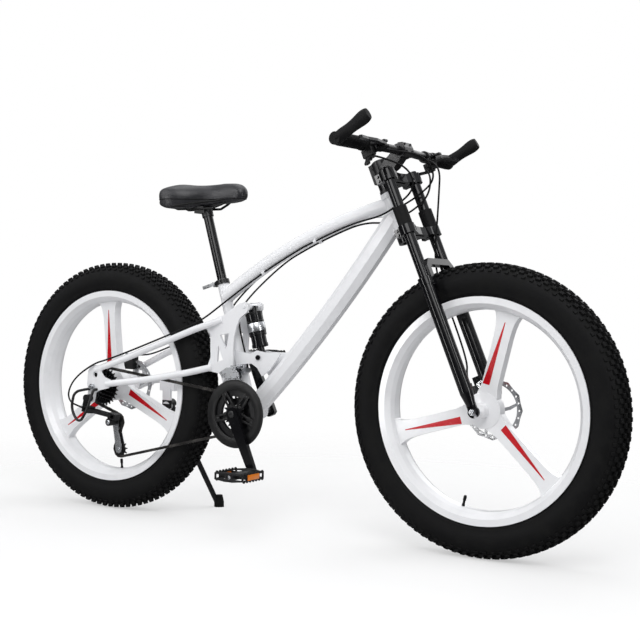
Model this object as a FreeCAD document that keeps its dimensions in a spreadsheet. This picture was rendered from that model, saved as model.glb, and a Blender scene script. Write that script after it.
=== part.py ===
"""Fat tyre bicycle with a sprung swingarm, a double-crown fork and cast three-spoke wheels.

Frame: +X forward, +Y to the rider's left, +Z up, millimetres. The origin lies on the ground,
midway between the wheels. Every driving size is a named cell of the sheet "dims".
"""
import FreeCAD, Part
import math
import os

import Sketcher

V = FreeCAD.Vector
Placement = FreeCAD.Placement
Rotation = FreeCAD.Rotation
X = V(1, 0, 0)
Y = V(0, 1, 0)
Z = V(0, 0, 1)
WORLD = Placement()
SIDES = (("right", -1), ("left", 1))
FULL_TURN = 360

SIZES = (
    # overall
    ("wheelbase", 1220, "between the two axles"),
    ("run_clear", 0.05, "radial play of a turning or sliding fit"),
    ("part_gap", 0.3, "play between neighbours that pass each other"),
    # tyres and wheels
    ("tyre_radius", 370, "26 x 4.0 tyre over its knobs"),
    ("tread_half", 26, "middle of the tread to the groove beside its edge knobs"),
    ("tread_depth", 8, "height of the knobs"),
    ("tread_slots", 72, "slots across the tread"),
    ("slot_width", 9, "slots across the tread"),
    ("tyre_half", 47.5, "half of the tyre at its widest"),
    ("tyre_wall", 4.5, "casing thickness"),
    ("rim_radius", 285, "edge of the rim flange"),
    ("rim_half", 40, "half of the rim's width"),
    ("rim_depth", 33, "flange edge to the rim's inner face"),
    ("flange_wall", 3.7, "rim flange thickness"),
    ("spoke_width", 43, "cast spoke across its face"),
    ("spoke_depth", 28, "cast spoke through the wheel"),
    ("front_spoke_turn", 13.8, "first spoke from upright, towards the front"),
    ("rear_spoke_turn", -6, "first spoke from upright, towards the front"),
    ("hub_radius", 20, "hub barrel"),
    ("hub_core", 46, "boss that the spokes grow from"),
    ("axle_radius", 5, "wheel axles"),
    ("nut_radius", 8.6, "axle nuts, across corners"),
    ("nut_height", 9, "axle nuts"),
    ("axle_tail", 5, "axle end outside its nut"),
    ("rotor_radius", 80, "brake discs"),
    ("rotor_thick", 2, "brake discs"),
    ("rotor_band", 15, "radial width of the braking track"),
    ("rotor_eye", 22, "hole at the middle of the disc"),
    ("rotor_arms", 6, "arms of the disc"),
    ("rotor_waves", 12, "waves round the disc's edge"),
    ("wave_depth", 4, "waves round the disc's edge"),
    ("rotor_hole", 2.6, "drilled holes in the track"),
    ("front_drop_inside", 66, "hub end to the middle, front"),
    ("rear_drop_inside", 97, "dropout face to the middle, rear"),
    ("drop_thick", 7, "dropout plates"),
    ("front_rotor_y", 45, "inner face of the front disc"),
    ("rear_rotor_y", 69, "inner face of the rear disc"),
    # bottom bracket, seat tube and crank
    ("chainstay_run", 504, "rear axle to the crank axis, along the ground"),
    ("crank_height", 319.5, "crank axis over the ground"),
    ("shell_half", 50, "half of the bottom bracket shell"),
    ("shell_radius", 22, "bottom bracket shell"),
    ("shell_wall", 4.5, "bottom bracket shell"),
    ("spindle_radius", 8.5, "crank spindle"),
    ("seat_lean", 16.6, "seat tube from upright"),
    ("seat_tube_radius", 16, "seat tube"),
    ("seat_tube_top", 388, "seat tube end from the crank axis"),
    ("post_radius", 13.6, "seat post"),
    ("post_foot", 245, "lower end of the seat post from the crank axis"),
    ("post_top", 588, "upper end of the seat post from the crank axis"),
    ("crank_length", 170, "crank axis to pedal axis"),
    ("crank_turn", 24.6, "right crank from straight down, towards the front"),
    # steering
    ("head_lean", 23.17, "steering axis from upright"),
    ("fork_rake", 45.5, "front axle ahead of the steering axis"),
    ("head_low", 509, "lower end of the head tube along the steering axis"),
    ("head_high", 618, "upper end of the head tube along the steering axis"),
    ("head_radius", 23, "head tube"),
    ("head_bore", 16.5, "inside of the head tube"),
    ("steerer_radius", 14.3, "fork steerer"),
    ("steerer_top", 708, "upper end of the steerer"),
    ("leg_half", 70, "fork leg from the middle"),
    ("stanchion_radius", 14, "fork inner legs"),
    ("stanchion_foot", 120, "lower end of the inner legs"),
    ("stanchion_top", 662, "upper end of the inner legs"),
    ("leg_radius", 17, "fork outer legs"),
    ("leg_foot", 16, "lower end of the outer legs"),
    ("leg_top", 358, "upper end of the outer legs"),
    ("seal_radius", 19.5, "dust seal on the outer legs"),
    ("seal_height", 20, "dust seal on the outer legs"),
    ("bumper_radius", 18.3, "rubber bumpers on the inner legs"),
    ("bumper_height", 50, "rubber bumpers on the inner legs"),
    ("low_crown_foot", 478, "underside of the lower crown"),
    ("low_crown_height", 24, "lower crown"),
    ("high_crown_foot", 628, "underside of the upper crown"),
    ("high_crown_height", 27, "upper crown"),
    ("clamp_wall", 7, "crown round an inner leg"),
    ("arch_rise", 404, "top of the fork brace along the steering axis"),
    ("arch_bar", 17, "fork brace thickness"),
    # cockpit
    ("bar_ahead", 74, "handlebar ahead of the steering axis"),
    ("bar_rise", 704, "handlebar along the steering axis"),
    ("bar_half", 300, "half of the handlebar's width"),
    ("bar_radius", 11.1, "handlebar at the grips"),
    ("bar_bulge", 12.7, "handlebar at the stem"),
    ("bar_sweep", 16, "handlebar end behind its middle"),
    ("grip_radius", 16, "rubber grips"),
    ("grip_length", 112, "rubber grips"),
    ("horn_length", 104, "horns at the grips' ends"),
    ("pod_inner", 132, "brake and gear unit from the middle"),
    # main tubes
    ("top_tube_radius", 20, "top tube"),
    ("tube_wall", 2.6, "wall of the frame tubes"),
    ("down_tube_half", 22, "half of the down tube's width"),
    ("down_tube_depth", 26, "half of the down tube's depth"),
    ("gusset_thick", 6, "shock gusset plates"),
    ("gusset_half", 20, "outer face of the gusset plates from the middle"),
    # swingarm and shock
    ("pivot_back", 59, "swingarm pivot behind the crank axis"),
    ("pivot_up", 78.5, "swingarm pivot over the crank axis"),
    ("pivot_radius", 6, "pivot axle"),
    ("pivot_boss", 13.5, "pivot bosses"),
    ("lug_half", 22, "half of the frame's pivot lug"),
    ("cheek_inside", 30, "inner face of the swingarm's side plates"),
    ("cheek_thick", 7.5, "swingarm's side plates"),
    ("stay_radius", 9.5, "swingarm stays"),
    ("shock_low_ahead", 34, "lower shock bolt ahead of the crank axis"),
    ("shock_low_up", 155.5, "lower shock bolt over the crank axis"),
    ("shock_high_ahead", -4, "upper shock bolt ahead of the crank axis"),
    ("shock_high_up", 296.5, "upper shock bolt over the crank axis"),
    ("shock_bolt", 4, "shock bolts"),
    ("shock_play", 1.1, "play of the upper shock eye"),
    ("shock_radius", 24, "shock's upper sleeve"),
    ("shock_inner", 21.4, "shock's lower sleeve"),
    ("eye_radius", 10, "shock eyes"),
    ("eye_half", 13, "half of the shock eyes' width"),
    # drivetrain
    ("chain_pitch", 12.7, "chain"),
    ("chain_y", -60, "middle of the chain"),
    ("ring_step", 7, "between chainrings"),
    ("ring_thick", 2, "chainrings and sprockets"),
    ("small_ring", 24, "teeth"),
    ("middle_ring", 34, "teeth"),
    ("large_ring", 42, "teeth"),
    ("cog_step", 5, "between sprockets"),
    ("jockey_teeth", 11, "teeth"),
    ("guard_radius", 94.5, "chain guard"),
    ("guard_thick", 3.5, "chain guard"),
    # kickstand
    ("stand_radius", 8, "kickstand leg"),
    ("foot_radius", 15, "kickstand foot"),
    ("foot_height", 14, "kickstand foot"),
    # cables
    ("cable_radius", 2.5, "cable housings"),
)


class Size:
    """A number together with the sheet formula that gives it."""

    def __init__(self, number, text):
        self.number = float(number)
        self.text = text

    def __float__(self):
        return self.number

    def __add__(self, other):
        return Size(self.number + float(other), "(%s + %s)" % (self.text, formula(other)))

    def __radd__(self, other):
        return self + other

    def __sub__(self, other):
        return Size(self.number - float(other), "(%s - %s)" % (self.text, formula(other)))

    def __rsub__(self, other):
        return Size(float(other) - self.number, "(%s - %s)" % (formula(other), self.text))

    def __mul__(self, other):
        return Size(self.number * float(other), "(%s * %s)" % (self.text, formula(other)))

    def __rmul__(self, other):
        return self * other

    def __truediv__(self, other):
        return Size(self.number / float(other), "(%s / %s)" % (self.text, formula(other)))

    def __neg__(self):
        return Size(-self.number, "(0 - %s)" % self.text)


def formula(value):
    """The sheet formula of a size, or a plain number's text."""
    if isinstance(value, Size):
        return value.text
    return repr(float(value))


class Sheet:
    """The driving sizes, by name."""


def fill_sheet(sheet):
    """Write each size to its own named cell and return them by name."""
    sizes = Sheet()
    for row, (name, number, note) in enumerate(SIZES, start=1):
        sheet.set("A%d" % row, name)
        sheet.set("B%d" % row, str(number))
        sheet.set("C%d" % row, note)
        sheet.setAlias("B%d" % row, name)
        setattr(sizes, name, Size(number, "dims." + name))
    return sizes


doc = FreeCAD.newDocument("fat_tyre_bike")
dims = doc.addObject("Spreadsheet::Sheet", "dims")
S = fill_sheet(dims)
doc.recompute()
NODES = []


# Making single features

def vector(point):
    return V(*[float(value) for value in point])


def bind(feature, name, size):
    """Tie a property to the sheet, or set it when it is a plain number."""
    if isinstance(size, Size):
        feature.setExpression(name, size.text)
    else:
        setattr(feature, name, size)


def aimed(base, direction=Z):
    return Placement(vector(base), Rotation(Z, vector(direction)))


def cylinder(name, radius, length, base, direction=Z, frame=WORLD):
    feature = doc.addObject("Part::Cylinder", name)
    bind(feature, "Radius", radius)
    bind(feature, "Height", length)
    feature.Placement = frame.multiply(aimed(base, direction))
    return feature


def cone(name, radius, end_radius, length, base, direction=Z, frame=WORLD):
    feature = doc.addObject("Part::Cone", name)
    bind(feature, "Radius1", radius)
    bind(feature, "Radius2", end_radius)
    bind(feature, "Height", length)
    feature.Placement = frame.multiply(aimed(base, direction))
    return feature


def box(name, size, centre, frame=WORLD, turn=Rotation()):
    """A block of the given three sizes about its centre."""
    feature = doc.addObject("Part::Box", name)
    for prop, value in zip(("Length", "Width", "Height"), size):
        bind(feature, prop, value)
    corner = Placement(vector([value * -0.5 for value in size]), Rotation())
    feature.Placement = frame.multiply(Placement(vector(centre), turn)).multiply(corner)
    return feature


def fuse(name, features):
    feature = doc.addObject("Part::MultiFuse", name)
    feature.Shapes = features
    feature.Refine = True
    return feature


def cut(name, base, tools):
    feature = doc.addObject("Part::Cut", name)
    feature.Base = base
    feature.Tool = tools[0] if len(tools) == 1 else fuse(name + " tools", tools)
    feature.Refine = True
    return feature


def tube(name, radius, bore, length, base, direction=Z, frame=WORLD):
    """A sleeve: a cylinder with a smaller one taken out along its whole length."""
    outside = cylinder(name + " outside", radius, length, base, direction, frame)
    inside = cylinder(name + " inside", bore, length, base, direction, frame)
    return cut(name, outside, [inside])


def formed(name, shape, placement=WORLD):
    """A piece whose form is worked out from the sizes in this file."""
    feature = doc.addObject("Part::Feature", name)
    feature.Shape = shape
    feature.Placement = placement
    return feature


def node(label, *features):
    """Keep one feature, or several as a group of separate solids, as a named piece."""
    piece = features[0]
    if len(features) > 1:
        piece = doc.addObject("Part::Compound", label)
        piece.Links = list(features)
    piece.Label = label
    NODES.append(piece)
    return piece


# Outlines and bodies

def corner_arc(before, corner, after, radius):
    """Start, middle and end of the arc that rounds a corner between two straight runs."""
    into = (corner - before).normalize()
    out = (after - corner).normalize()
    half = into.getAngle(out) / 2
    reach = radius * math.tan(half)
    middle = corner + (out - into).normalize() * (radius / math.cos(half) - radius)
    return corner - into * reach, middle, corner + out * reach


def rounded_outline(points, radius):
    """A closed outline in a plane, its corners rounded where a radius is given."""
    points = [V(float(a), float(b), 0) for a, b in points]
    count = len(points)
    if not radius:
        return [Part.LineSegment(points[i], points[(i + 1) % count]) for i in range(count)]
    arcs = [corner_arc(points[i - 1], points[i], points[(i + 1) % count], radius) for i in range(count)]
    edges = []
    for i, (start, middle, end) in enumerate(arcs):
        edges.append(Part.Arc(start, middle, end))
        edges.append(Part.LineSegment(end, arcs[(i + 1) % count][0]))
    return edges


def point_at(sketch, edge, spot):
    """Which end of a drawn edge lies at the spot: 1 for its start, 2 for its end."""
    return 1 if sketch.getPoint(edge, 1).isEqual(spot, 1e-4) else 2


def join_ends(sketch, first, edges):
    """Tie each edge to the next at the point that they share, round a closed outline."""
    ties = []
    for i, edge in enumerate(edges):
        after = first + (i + 1) % len(edges)
        spot = edge.EndPoint
        ties.append(Sketcher.Constraint(
            "Coincident", first + i, point_at(sketch, first + i, spot), after, point_at(sketch, after, spot)))
    sketch.addConstraint(ties)


def origin_plane(body, role):
    return [feature for feature in body.Origin.OriginFeatures if feature.Role == role][0]


def new_sketch(body, name, role):
    sketch = body.newObject("Sketcher::SketchObject", name)
    sketch.AttachmentSupport = (origin_plane(body, role), [""])
    sketch.MapMode = "FlatFace"
    return sketch


def draw(sketch, edges):
    first = sketch.GeometryCount
    sketch.addGeometry(edges, False)
    join_ends(sketch, first, edges)


def draw_circle(sketch, centre, radius):
    """A round hole whose radius follows the sheet."""
    middle = V(float(centre[0]), float(centre[1]), 0)
    index = sketch.addGeometry(Part.Circle(middle, V(0, 0, 1), float(radius)), False)
    row = sketch.addConstraint(Sketcher.Constraint("Radius", index, float(radius)))
    if isinstance(radius, Size):
        sketch.setExpression("Constraints[%d]" % row, radius.text)


def plate(name, outline, thick, face=0, holes=(), windows=(), radius=0, role="XZ_Plane", frame=WORLD):
    """A padded outline with round holes and cut windows.

    On the XZ plane it lies between y = face - thick and y = face; on the XY plane between
    z = face and z = face + thick of its frame.
    """
    body = doc.addObject("PartDesign::Body", name)
    sketch = new_sketch(body, name + " outline", role)
    if outline:
        draw(sketch, rounded_outline(outline, float(radius)))
    for centre, hole in holes:
        draw_circle(sketch, centre, hole)
    for window in windows:
        draw(sketch, rounded_outline(window, 0))
    pad = body.newObject("PartDesign::Pad", name + " pad")
    pad.Profile = sketch
    bind(pad, "Length", thick)
    shift = V(0, float(face), 0) if role == "XZ_Plane" else V(0, 0, float(face))
    body.Placement = frame.multiply(Placement(shift, Rotation()))
    return body


def turned(name, edges, centre):
    """A profile of radius and side position, turned about the cross axis through centre."""
    body = doc.addObject("PartDesign::Body", name)
    sketch = new_sketch(body, name + " profile", "XY_Plane")
    draw(sketch, edges)
    revolve = body.newObject("PartDesign::Revolution", name + " turn")
    revolve.Profile = sketch
    revolve.ReferenceAxis = (sketch, ["V_Axis"])
    revolve.Angle = FULL_TURN
    body.Placement = Placement(vector(centre), Rotation())
    return body


def mirrored_profile(half):
    """Close a profile given for the left half by its mirror image on the right half."""
    return list(half) + [(radius, -side) for radius, side in reversed(half)]


# Pipes along straight runs and tangent arcs

def rounded_path(points, bend=None):
    """Straight runs joined by arcs: of one radius, or each as large as its two runs allow."""
    points = [vector(point) for point in points]
    edges = []
    radii = []
    start = points[0]
    for before, corner, after in zip(points, points[1:], points[2:]):
        radius = bend
        if radius is None:
            into = corner - before
            out = after - corner
            radius = 0.45 * min(into.Length, out.Length) / math.tan(into.getAngle(out) / 2)
        first, middle, last = corner_arc(before, corner, after, float(radius))
        edges.append(Part.LineSegment(start, first).toShape())
        edges.append(Part.Arc(first, middle, last).toShape())
        radii.append(float(radius))
        start = last
    edges.append(Part.LineSegment(start, points[-1]).toShape())
    return Part.Wire(edges), radii


def swept(name, wire, section, area=None):
    """Sweep a closed section along a path and compare the volume with section times length."""
    shape = wire.makePipeShell([section], True, False)
    if area:
        ratio = shape.Volume / (area * wire.Length)
        if abs(ratio - 1) > 0.02:
            raise ValueError("%s: sweep volume is off by %.3f" % (name, ratio))
    return shape


def pipe(name, points, radius, bend=None):
    wire, radii = rounded_path(points, bend)
    start = vector(points[0])
    heading = vector(points[1]) - start
    circle = Part.Wire(Part.makeCircle(float(radius), start, heading))
    shape = swept(name, wire, circle, math.pi * float(radius) ** 2)
    return shape, wire.Length, radii


def arc_wire(points):
    return Part.Wire(Part.Arc(*[vector(point) for point in points]).toShape())


# Anchors that the pieces share

REAR_X = S.wheelbase * -0.5
FRONT_X = S.wheelbase * 0.5
REAR_AXLE = (REAR_X, 0, S.tyre_radius)
FRONT_AXLE = (FRONT_X, 0, S.tyre_radius)
CRANK_X = REAR_X + S.chainstay_run
CRANK = (CRANK_X, 0, S.crank_height)
HEAD_RAD = math.radians(float(S.head_lean))
STEER_FOOT = vector(FRONT_AXLE) - V(math.cos(HEAD_RAD), 0, math.sin(HEAD_RAD)) * float(S.fork_rake)
STEER = Placement(STEER_FOOT, Rotation(Y, -float(S.head_lean)))
SEAT = Placement(vector(CRANK), Rotation(Y, -float(S.seat_lean)))
PIVOT_X = CRANK_X - S.pivot_back
PIVOT_Z = S.crank_height + S.pivot_up
SHOCK_LOW = (CRANK_X + S.shock_low_ahead, 0, S.crank_height + S.shock_low_up)
SHOCK_HIGH = (CRANK_X + S.shock_high_ahead, 0, S.crank_height + S.shock_high_up)


def about(anchor, points):
    """Points given from an anchor's x and z, as points of the side view."""
    return [(float(anchor[0]) + a, float(anchor[2]) + b) for a, b in points]


# Wheels: tyre, cast wheel, disc

def run(points, bend):
    """Straight runs through the points, with one arc over the three that start at bend."""
    edges = []
    spot = 0
    while spot < len(points) - 1:
        if spot == bend:
            edges.append(Part.Arc(points[spot], points[spot + 1], points[spot + 2]))
            spot += 2
        else:
            edges.append(Part.LineSegment(points[spot], points[spot + 1]))
            spot += 1
    return edges


def section_points(half):
    return [V(float(radius), float(side), 0) for radius, side in half]


def other_side(points):
    return [V(point.x, -point.y, 0) for point in points]


def tyre_section():
    """Left half of a tyre's section, outside and inside, each from the bead to the crown."""
    bead = S.rim_radius - S.flange_wall * 3.4
    seat = S.rim_half - S.flange_wall - S.part_gap
    lip = S.rim_radius + 1.5
    height = S.tyre_radius - S.rim_radius
    belly = S.rim_radius + height * 0.4
    shoulder = S.rim_radius + height * 0.74
    crown = S.tyre_radius
    groove = crown - S.tread_depth
    outside = [(bead, seat), (lip, seat), (belly, S.tyre_half), (shoulder, S.tyre_half - 4)]
    outside += [(crown - 9.5, S.tread_half + 12.5), (crown - 6, S.tread_half + 4)]
    outside += [(groove - 4, S.tread_half + 3), (groove - 3, S.tread_half), (crown - 2.6, S.tread_half - 1)]
    outside += [(crown, 4), (groove, 3)]
    inside = [(bead, seat - S.tyre_wall), (lip, seat - S.tyre_wall), (belly, S.tyre_half - S.tyre_wall)]
    inside += [(shoulder - 4, S.tyre_half - S.tyre_wall * 2), (groove - S.tyre_wall * 2, S.tread_half + 1)]
    inside += [(groove - S.tyre_wall, S.tread_half - 6)]
    return section_points(outside), section_points(inside)


def tread_slots(axle):
    """Slots across the tread, which part its ribs into knobs."""
    crown = float(S.tyre_radius)
    depth = float(S.tread_depth)
    half = float(S.tread_half)
    side = [(half + 20, crown - depth * 3), (half + 13, crown - depth * 2), (half + 4, crown - depth * 1.5)]
    side += [(half - 1, crown - depth * 1.2), (0, crown - depth)]
    floor = side + [(-across, level) for across, level in reversed(side[:-1])]
    outline = [V(0, across, level) for across, level in floor]
    outline += [V(0, -half - 20, crown + depth), V(0, half + 20, crown + depth)]
    width = float(S.slot_width)
    blade = Part.Face(Part.makePolygon(outline + outline[:1])).extrude(V(width, 0, 0))
    blade.translate(V(-width / 2, 0, 0))
    blades = []
    for i in range(int(float(S.tread_slots))):
        turn = Rotation(Y, i * FULL_TURN / float(S.tread_slots))
        blades.append(placed_copy(blade, Placement(vector(axle), turn)))
    return Part.makeCompound(blades)


def tyre(label, axle):
    """A hollow casing with a tread of knobs between round grooves and cross slots."""
    outside, inside = tyre_section()
    far_outside = list(reversed(other_side(outside)))
    far_inside = other_side(inside)
    edges = run(outside, 1) + [Part.LineSegment(outside[-1], far_outside[0])]
    edges += run(far_outside, len(far_outside) - 4) + [Part.LineSegment(far_outside[-1], far_inside[0])]
    edges += run(far_inside, 1) + [Part.LineSegment(far_inside[-1], inside[-1])]
    edges += run(list(reversed(inside)), len(inside) - 4) + [Part.LineSegment(inside[0], outside[0])]
    casing = turned(label + " casing", edges, axle)
    slots = formed(label + " tread slots", tread_slots(axle))
    return node(label, cut(label + " tread", casing, [slots]))


def rim(name, axle):
    flange = S.rim_radius
    bed = flange - S.flange_wall * 3.5
    well = bed - 6
    inside = S.rim_half - S.flange_wall
    face = flange - S.rim_depth * 0.52
    bottom = flange - S.rim_depth
    half = [(bottom, S.rim_half * 0.3), (bottom + 5, S.rim_half * 0.65), (face, S.rim_half)]
    half += [(flange, S.rim_half), (flange, inside), (bed, inside), (well, S.rim_half * 0.4)]
    return turned(name, rounded_outline(mirrored_profile(half), 0), axle)


SPOKE_FLARE = ((1.9, 0), (1.45, 10), (1.2, 24), (1.06, 42), (1, 64))


def spoke(name, axle, turn):
    """One cast spoke, flared into the rim at one end and into the hub at the other."""
    half = S.spoke_width * 0.5
    root = S.hub_core - 8
    neck = S.hub_core + 26
    tip = S.rim_radius - S.rim_depth + 4
    right = [(half * wider, tip - inwards) for wider, inwards in SPOKE_FLARE]
    right += [(half, neck), (half * 1.1, neck - 16), (half * 1.3, root)]
    outline = right + [(-across, along) for across, along in reversed(right)]
    frame = Placement(vector(axle), Rotation(Y, float(turn)))
    return plate(name, outline, S.spoke_depth, S.spoke_depth * 0.5, frame=frame)


def wheel(label, axle, first_turn, hub_profile):
    hub = turned(label + " hub", rounded_outline(hub_profile, 0), axle)
    spokes = [spoke("%s spoke %d" % (label, i), axle, first_turn + i * 120) for i in range(3)]
    return node(label, fuse(label + " casting", [rim(label + " rim", axle), hub] + spokes))


WAVE_ROUND = 8


def rotor(label, axle, inner_face):
    """A brake disc: a waved and drilled braking track on swept arms."""
    outer = inner_face + S.rotor_thick
    frame = Placement(V(float(axle[0]), 0, float(axle[2])), Rotation())
    waves = int(float(S.rotor_waves))
    step = math.pi / waves
    edge = []
    drilled = [((0, 0), S.rotor_radius - S.rotor_band)]
    for i in range(waves * 2):
        reach = S.rotor_radius - S.wave_depth * (i % 2)
        edge.append((reach * math.cos(i * step), reach * math.sin(i * step)))
        middle = S.rotor_radius - S.rotor_band * 0.6
        spot = (middle * math.cos(i * step), middle * math.sin(i * step))
        drilled.append((spot, S.rotor_hole))
    track = plate(label + " track", edge, S.rotor_thick, outer, drilled, radius=WAVE_ROUND, frame=frame)
    holes = [((0, 0), S.rotor_eye + 9), ((0, 0), S.rotor_eye)]
    eye = plate(label + " eye", None, S.rotor_thick, outer, holes, frame=frame)
    start = S.rotor_eye + 4
    end = S.rotor_radius - S.rotor_band + 3
    middle = (start + end) * 0.5
    sickle = [(start, -5), (middle, 1), (end, 14), (end - 3, 20), (middle - 3, 9), (start, 4)]
    arms = []
    for i in range(int(float(S.rotor_arms))):
        turned_frame = frame.multiply(Placement(V(), Rotation(Y, i * FULL_TURN / float(S.rotor_arms))))
        arms.append(plate("%s arm %d" % (label, i), sickle, S.rotor_thick, outer, frame=turned_frame))
    return node(label, fuse(label + " disc", [track, eye] + arms))


def axle_set(label, axle, hub_end, drop_face, drop_out):
    """An axle with its locknuts inside the dropouts and its nuts outside them."""
    reach = drop_out + S.nut_height + S.axle_tail
    centre = (axle[0], -reach, axle[2])
    pieces = [cylinder(label + " rod", S.axle_radius, reach * 2, centre, Y)]
    for name, side in SIDES:
        lock = (axle[0], (hub_end + S.part_gap) * side, axle[2])
        gap = drop_face - hub_end - S.part_gap
        pieces.append(cylinder("%s %s locknut" % (label, name), S.nut_radius + 0.6, gap, lock, Y * side))
        nut = doc.addObject("Part::Prism", "%s %s nut" % (label, name))
        bind(nut, "Circumradius", S.nut_radius)
        bind(nut, "Height", S.nut_height)
        nut.Placement = aimed((axle[0], drop_out * side, axle[2]), Y * side)
        pieces.append(nut)
    return node(label, fuse(label + " set", pieces))


FRONT_HUB_END = S.front_drop_inside - 4
REAR_HUB_END = S.rear_drop_inside - 4
BORE = S.axle_radius + S.run_clear


def front_hub_profile():
    seat = S.front_rotor_y
    half = S.spoke_depth * 0.5 + 1
    return [
        (BORE, -FRONT_HUB_END), (S.hub_radius * 0.6, -FRONT_HUB_END), (S.hub_radius, -FRONT_HUB_END + 12),
        (S.hub_radius, -half - 6), (S.hub_core, -half), (S.hub_core, half), (S.hub_radius + 3, half + 8),
        (S.hub_radius + 3, seat - 6), (S.rotor_eye + 10, seat - 5), (S.rotor_eye + 10, seat),
        (S.rotor_eye - S.run_clear, seat), (S.rotor_eye - S.run_clear, seat + S.rotor_thick),
        (S.hub_radius * 0.65, seat + S.rotor_thick + 1), (S.hub_radius * 0.65, FRONT_HUB_END), (BORE, FRONT_HUB_END),
    ]


SPIGOT = S.hub_radius * 0.7
FREEWHEEL_INNER = S.chain_y + 4.5


def rear_hub_profile():
    seat = S.rear_rotor_y
    half = S.spoke_depth * 0.5 + 1
    return [
        (BORE, -REAR_HUB_END), (SPIGOT, -REAR_HUB_END), (SPIGOT, FREEWHEEL_INNER + S.part_gap),
        (S.hub_radius + 2, FREEWHEEL_INNER + S.part_gap + 1), (S.hub_radius + 2, -half - 6), (S.hub_core, -half),
        (S.hub_core, half), (S.hub_radius + 3, half + 8), (S.hub_radius + 3, seat - 6),
        (S.rotor_eye + 10, seat - 5), (S.rotor_eye + 10, seat), (S.rotor_eye - S.run_clear, seat),
        (S.rotor_eye - S.run_clear, seat + S.rotor_thick), (S.hub_radius * 0.65, seat + S.rotor_thick + 1),
        (S.hub_radius * 0.65, REAR_HUB_END), (BORE, REAR_HUB_END),
    ]


def wheels():
    tyre("front_tyre", FRONT_AXLE)
    tyre("rear_tyre", REAR_AXLE)
    wheel("front_wheel", FRONT_AXLE, float(S.front_spoke_turn), front_hub_profile())
    wheel("rear_wheel", REAR_AXLE, float(S.rear_spoke_turn), rear_hub_profile())
    rotor("front_rotor", FRONT_AXLE, S.front_rotor_y)
    rotor("rear_rotor", REAR_AXLE, S.rear_rotor_y)
    drop = S.front_drop_inside + S.part_gap
    axle_set("front_axle", FRONT_AXLE, FRONT_HUB_END, drop, drop + S.drop_thick)
    drop = S.rear_drop_inside
    axle_set("rear_axle", REAR_AXLE, REAR_HUB_END, drop, drop + S.drop_thick)


# Main frame

HEAD_TOP_JOIN = 30
HEAD_DOWN_JOIN = 45
SEAT_TOP_JOIN = 335
GUSSET = ((-54, 173), (6, 165), (28, 175), (52, 171), (110, 171), (72, 122), (46, 104), (30, 126), (10, 138), (-42, 132))


def steer_point(ahead, side, along):
    return STEER.multVec(vector((ahead, side, along)))


def seat_point(along, ahead=0):
    return SEAT.multVec(vector((ahead, 0, along)))


def top_tube_path():
    head = steer_point(0, 0, S.head_high - HEAD_TOP_JOIN)
    seat = seat_point(SEAT_TOP_JOIN)
    middle = (head + seat) * 0.5 + V(-12, 0, 29)
    return arc_wire((head, middle, seat)), head, middle


def down_tube_path():
    head = steer_point(0, 0, S.head_low + HEAD_DOWN_JOIN)
    crank = vector(CRANK)
    middle = (head + crank) * 0.5 + V(18, 0, -2)
    return arc_wire((head, middle, crank)), head, middle


def round_section(wire, radius):
    edge = wire.Edges[0]
    start = edge.valueAt(edge.FirstParameter)
    heading = edge.tangentAt(edge.FirstParameter)
    return Part.Wire(Part.makeCircle(radius, start, heading))


def creased_section(wire, half, depth):
    """An eight-sided section with flat sides and a creased underside, square to the path's start."""
    edge = wire.Edges[0]
    start = edge.valueAt(edge.FirstParameter)
    heading = edge.tangentAt(edge.FirstParameter)
    up = Y.cross(heading).normalize()
    corners = ((-half * 0.62, depth), (half * 0.62, depth), (half, depth * 0.55), (half, -depth * 0.3))
    corners += ((half * 0.5, -depth), (-half * 0.5, -depth), (-half, -depth * 0.3), (-half, depth * 0.55))
    points = [start + Y * a + up * b for a, b in corners]
    return Part.makePolygon(points + points[:1])


def frame_tubes():
    """The outsides and the hollow insides of the two long tubes."""
    wall = float(S.tube_wall)
    top, _, _ = top_tube_path()
    down, _, _ = down_tube_path()
    half = float(S.down_tube_half)
    depth = float(S.down_tube_depth)
    radius = float(S.top_tube_radius)
    outsides = [
        formed("top tube", swept("top tube", top, round_section(top, radius), math.pi * radius ** 2)),
        formed("down tube", swept("down tube", down, creased_section(down, half, depth))),
    ]
    insides = [
        formed("top tube hollow", swept("top hollow", top, round_section(top, radius - wall))),
        formed("down tube hollow", swept("down hollow", down, creased_section(down, half - wall, depth - wall))),
    ]
    return outsides, insides


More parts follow.
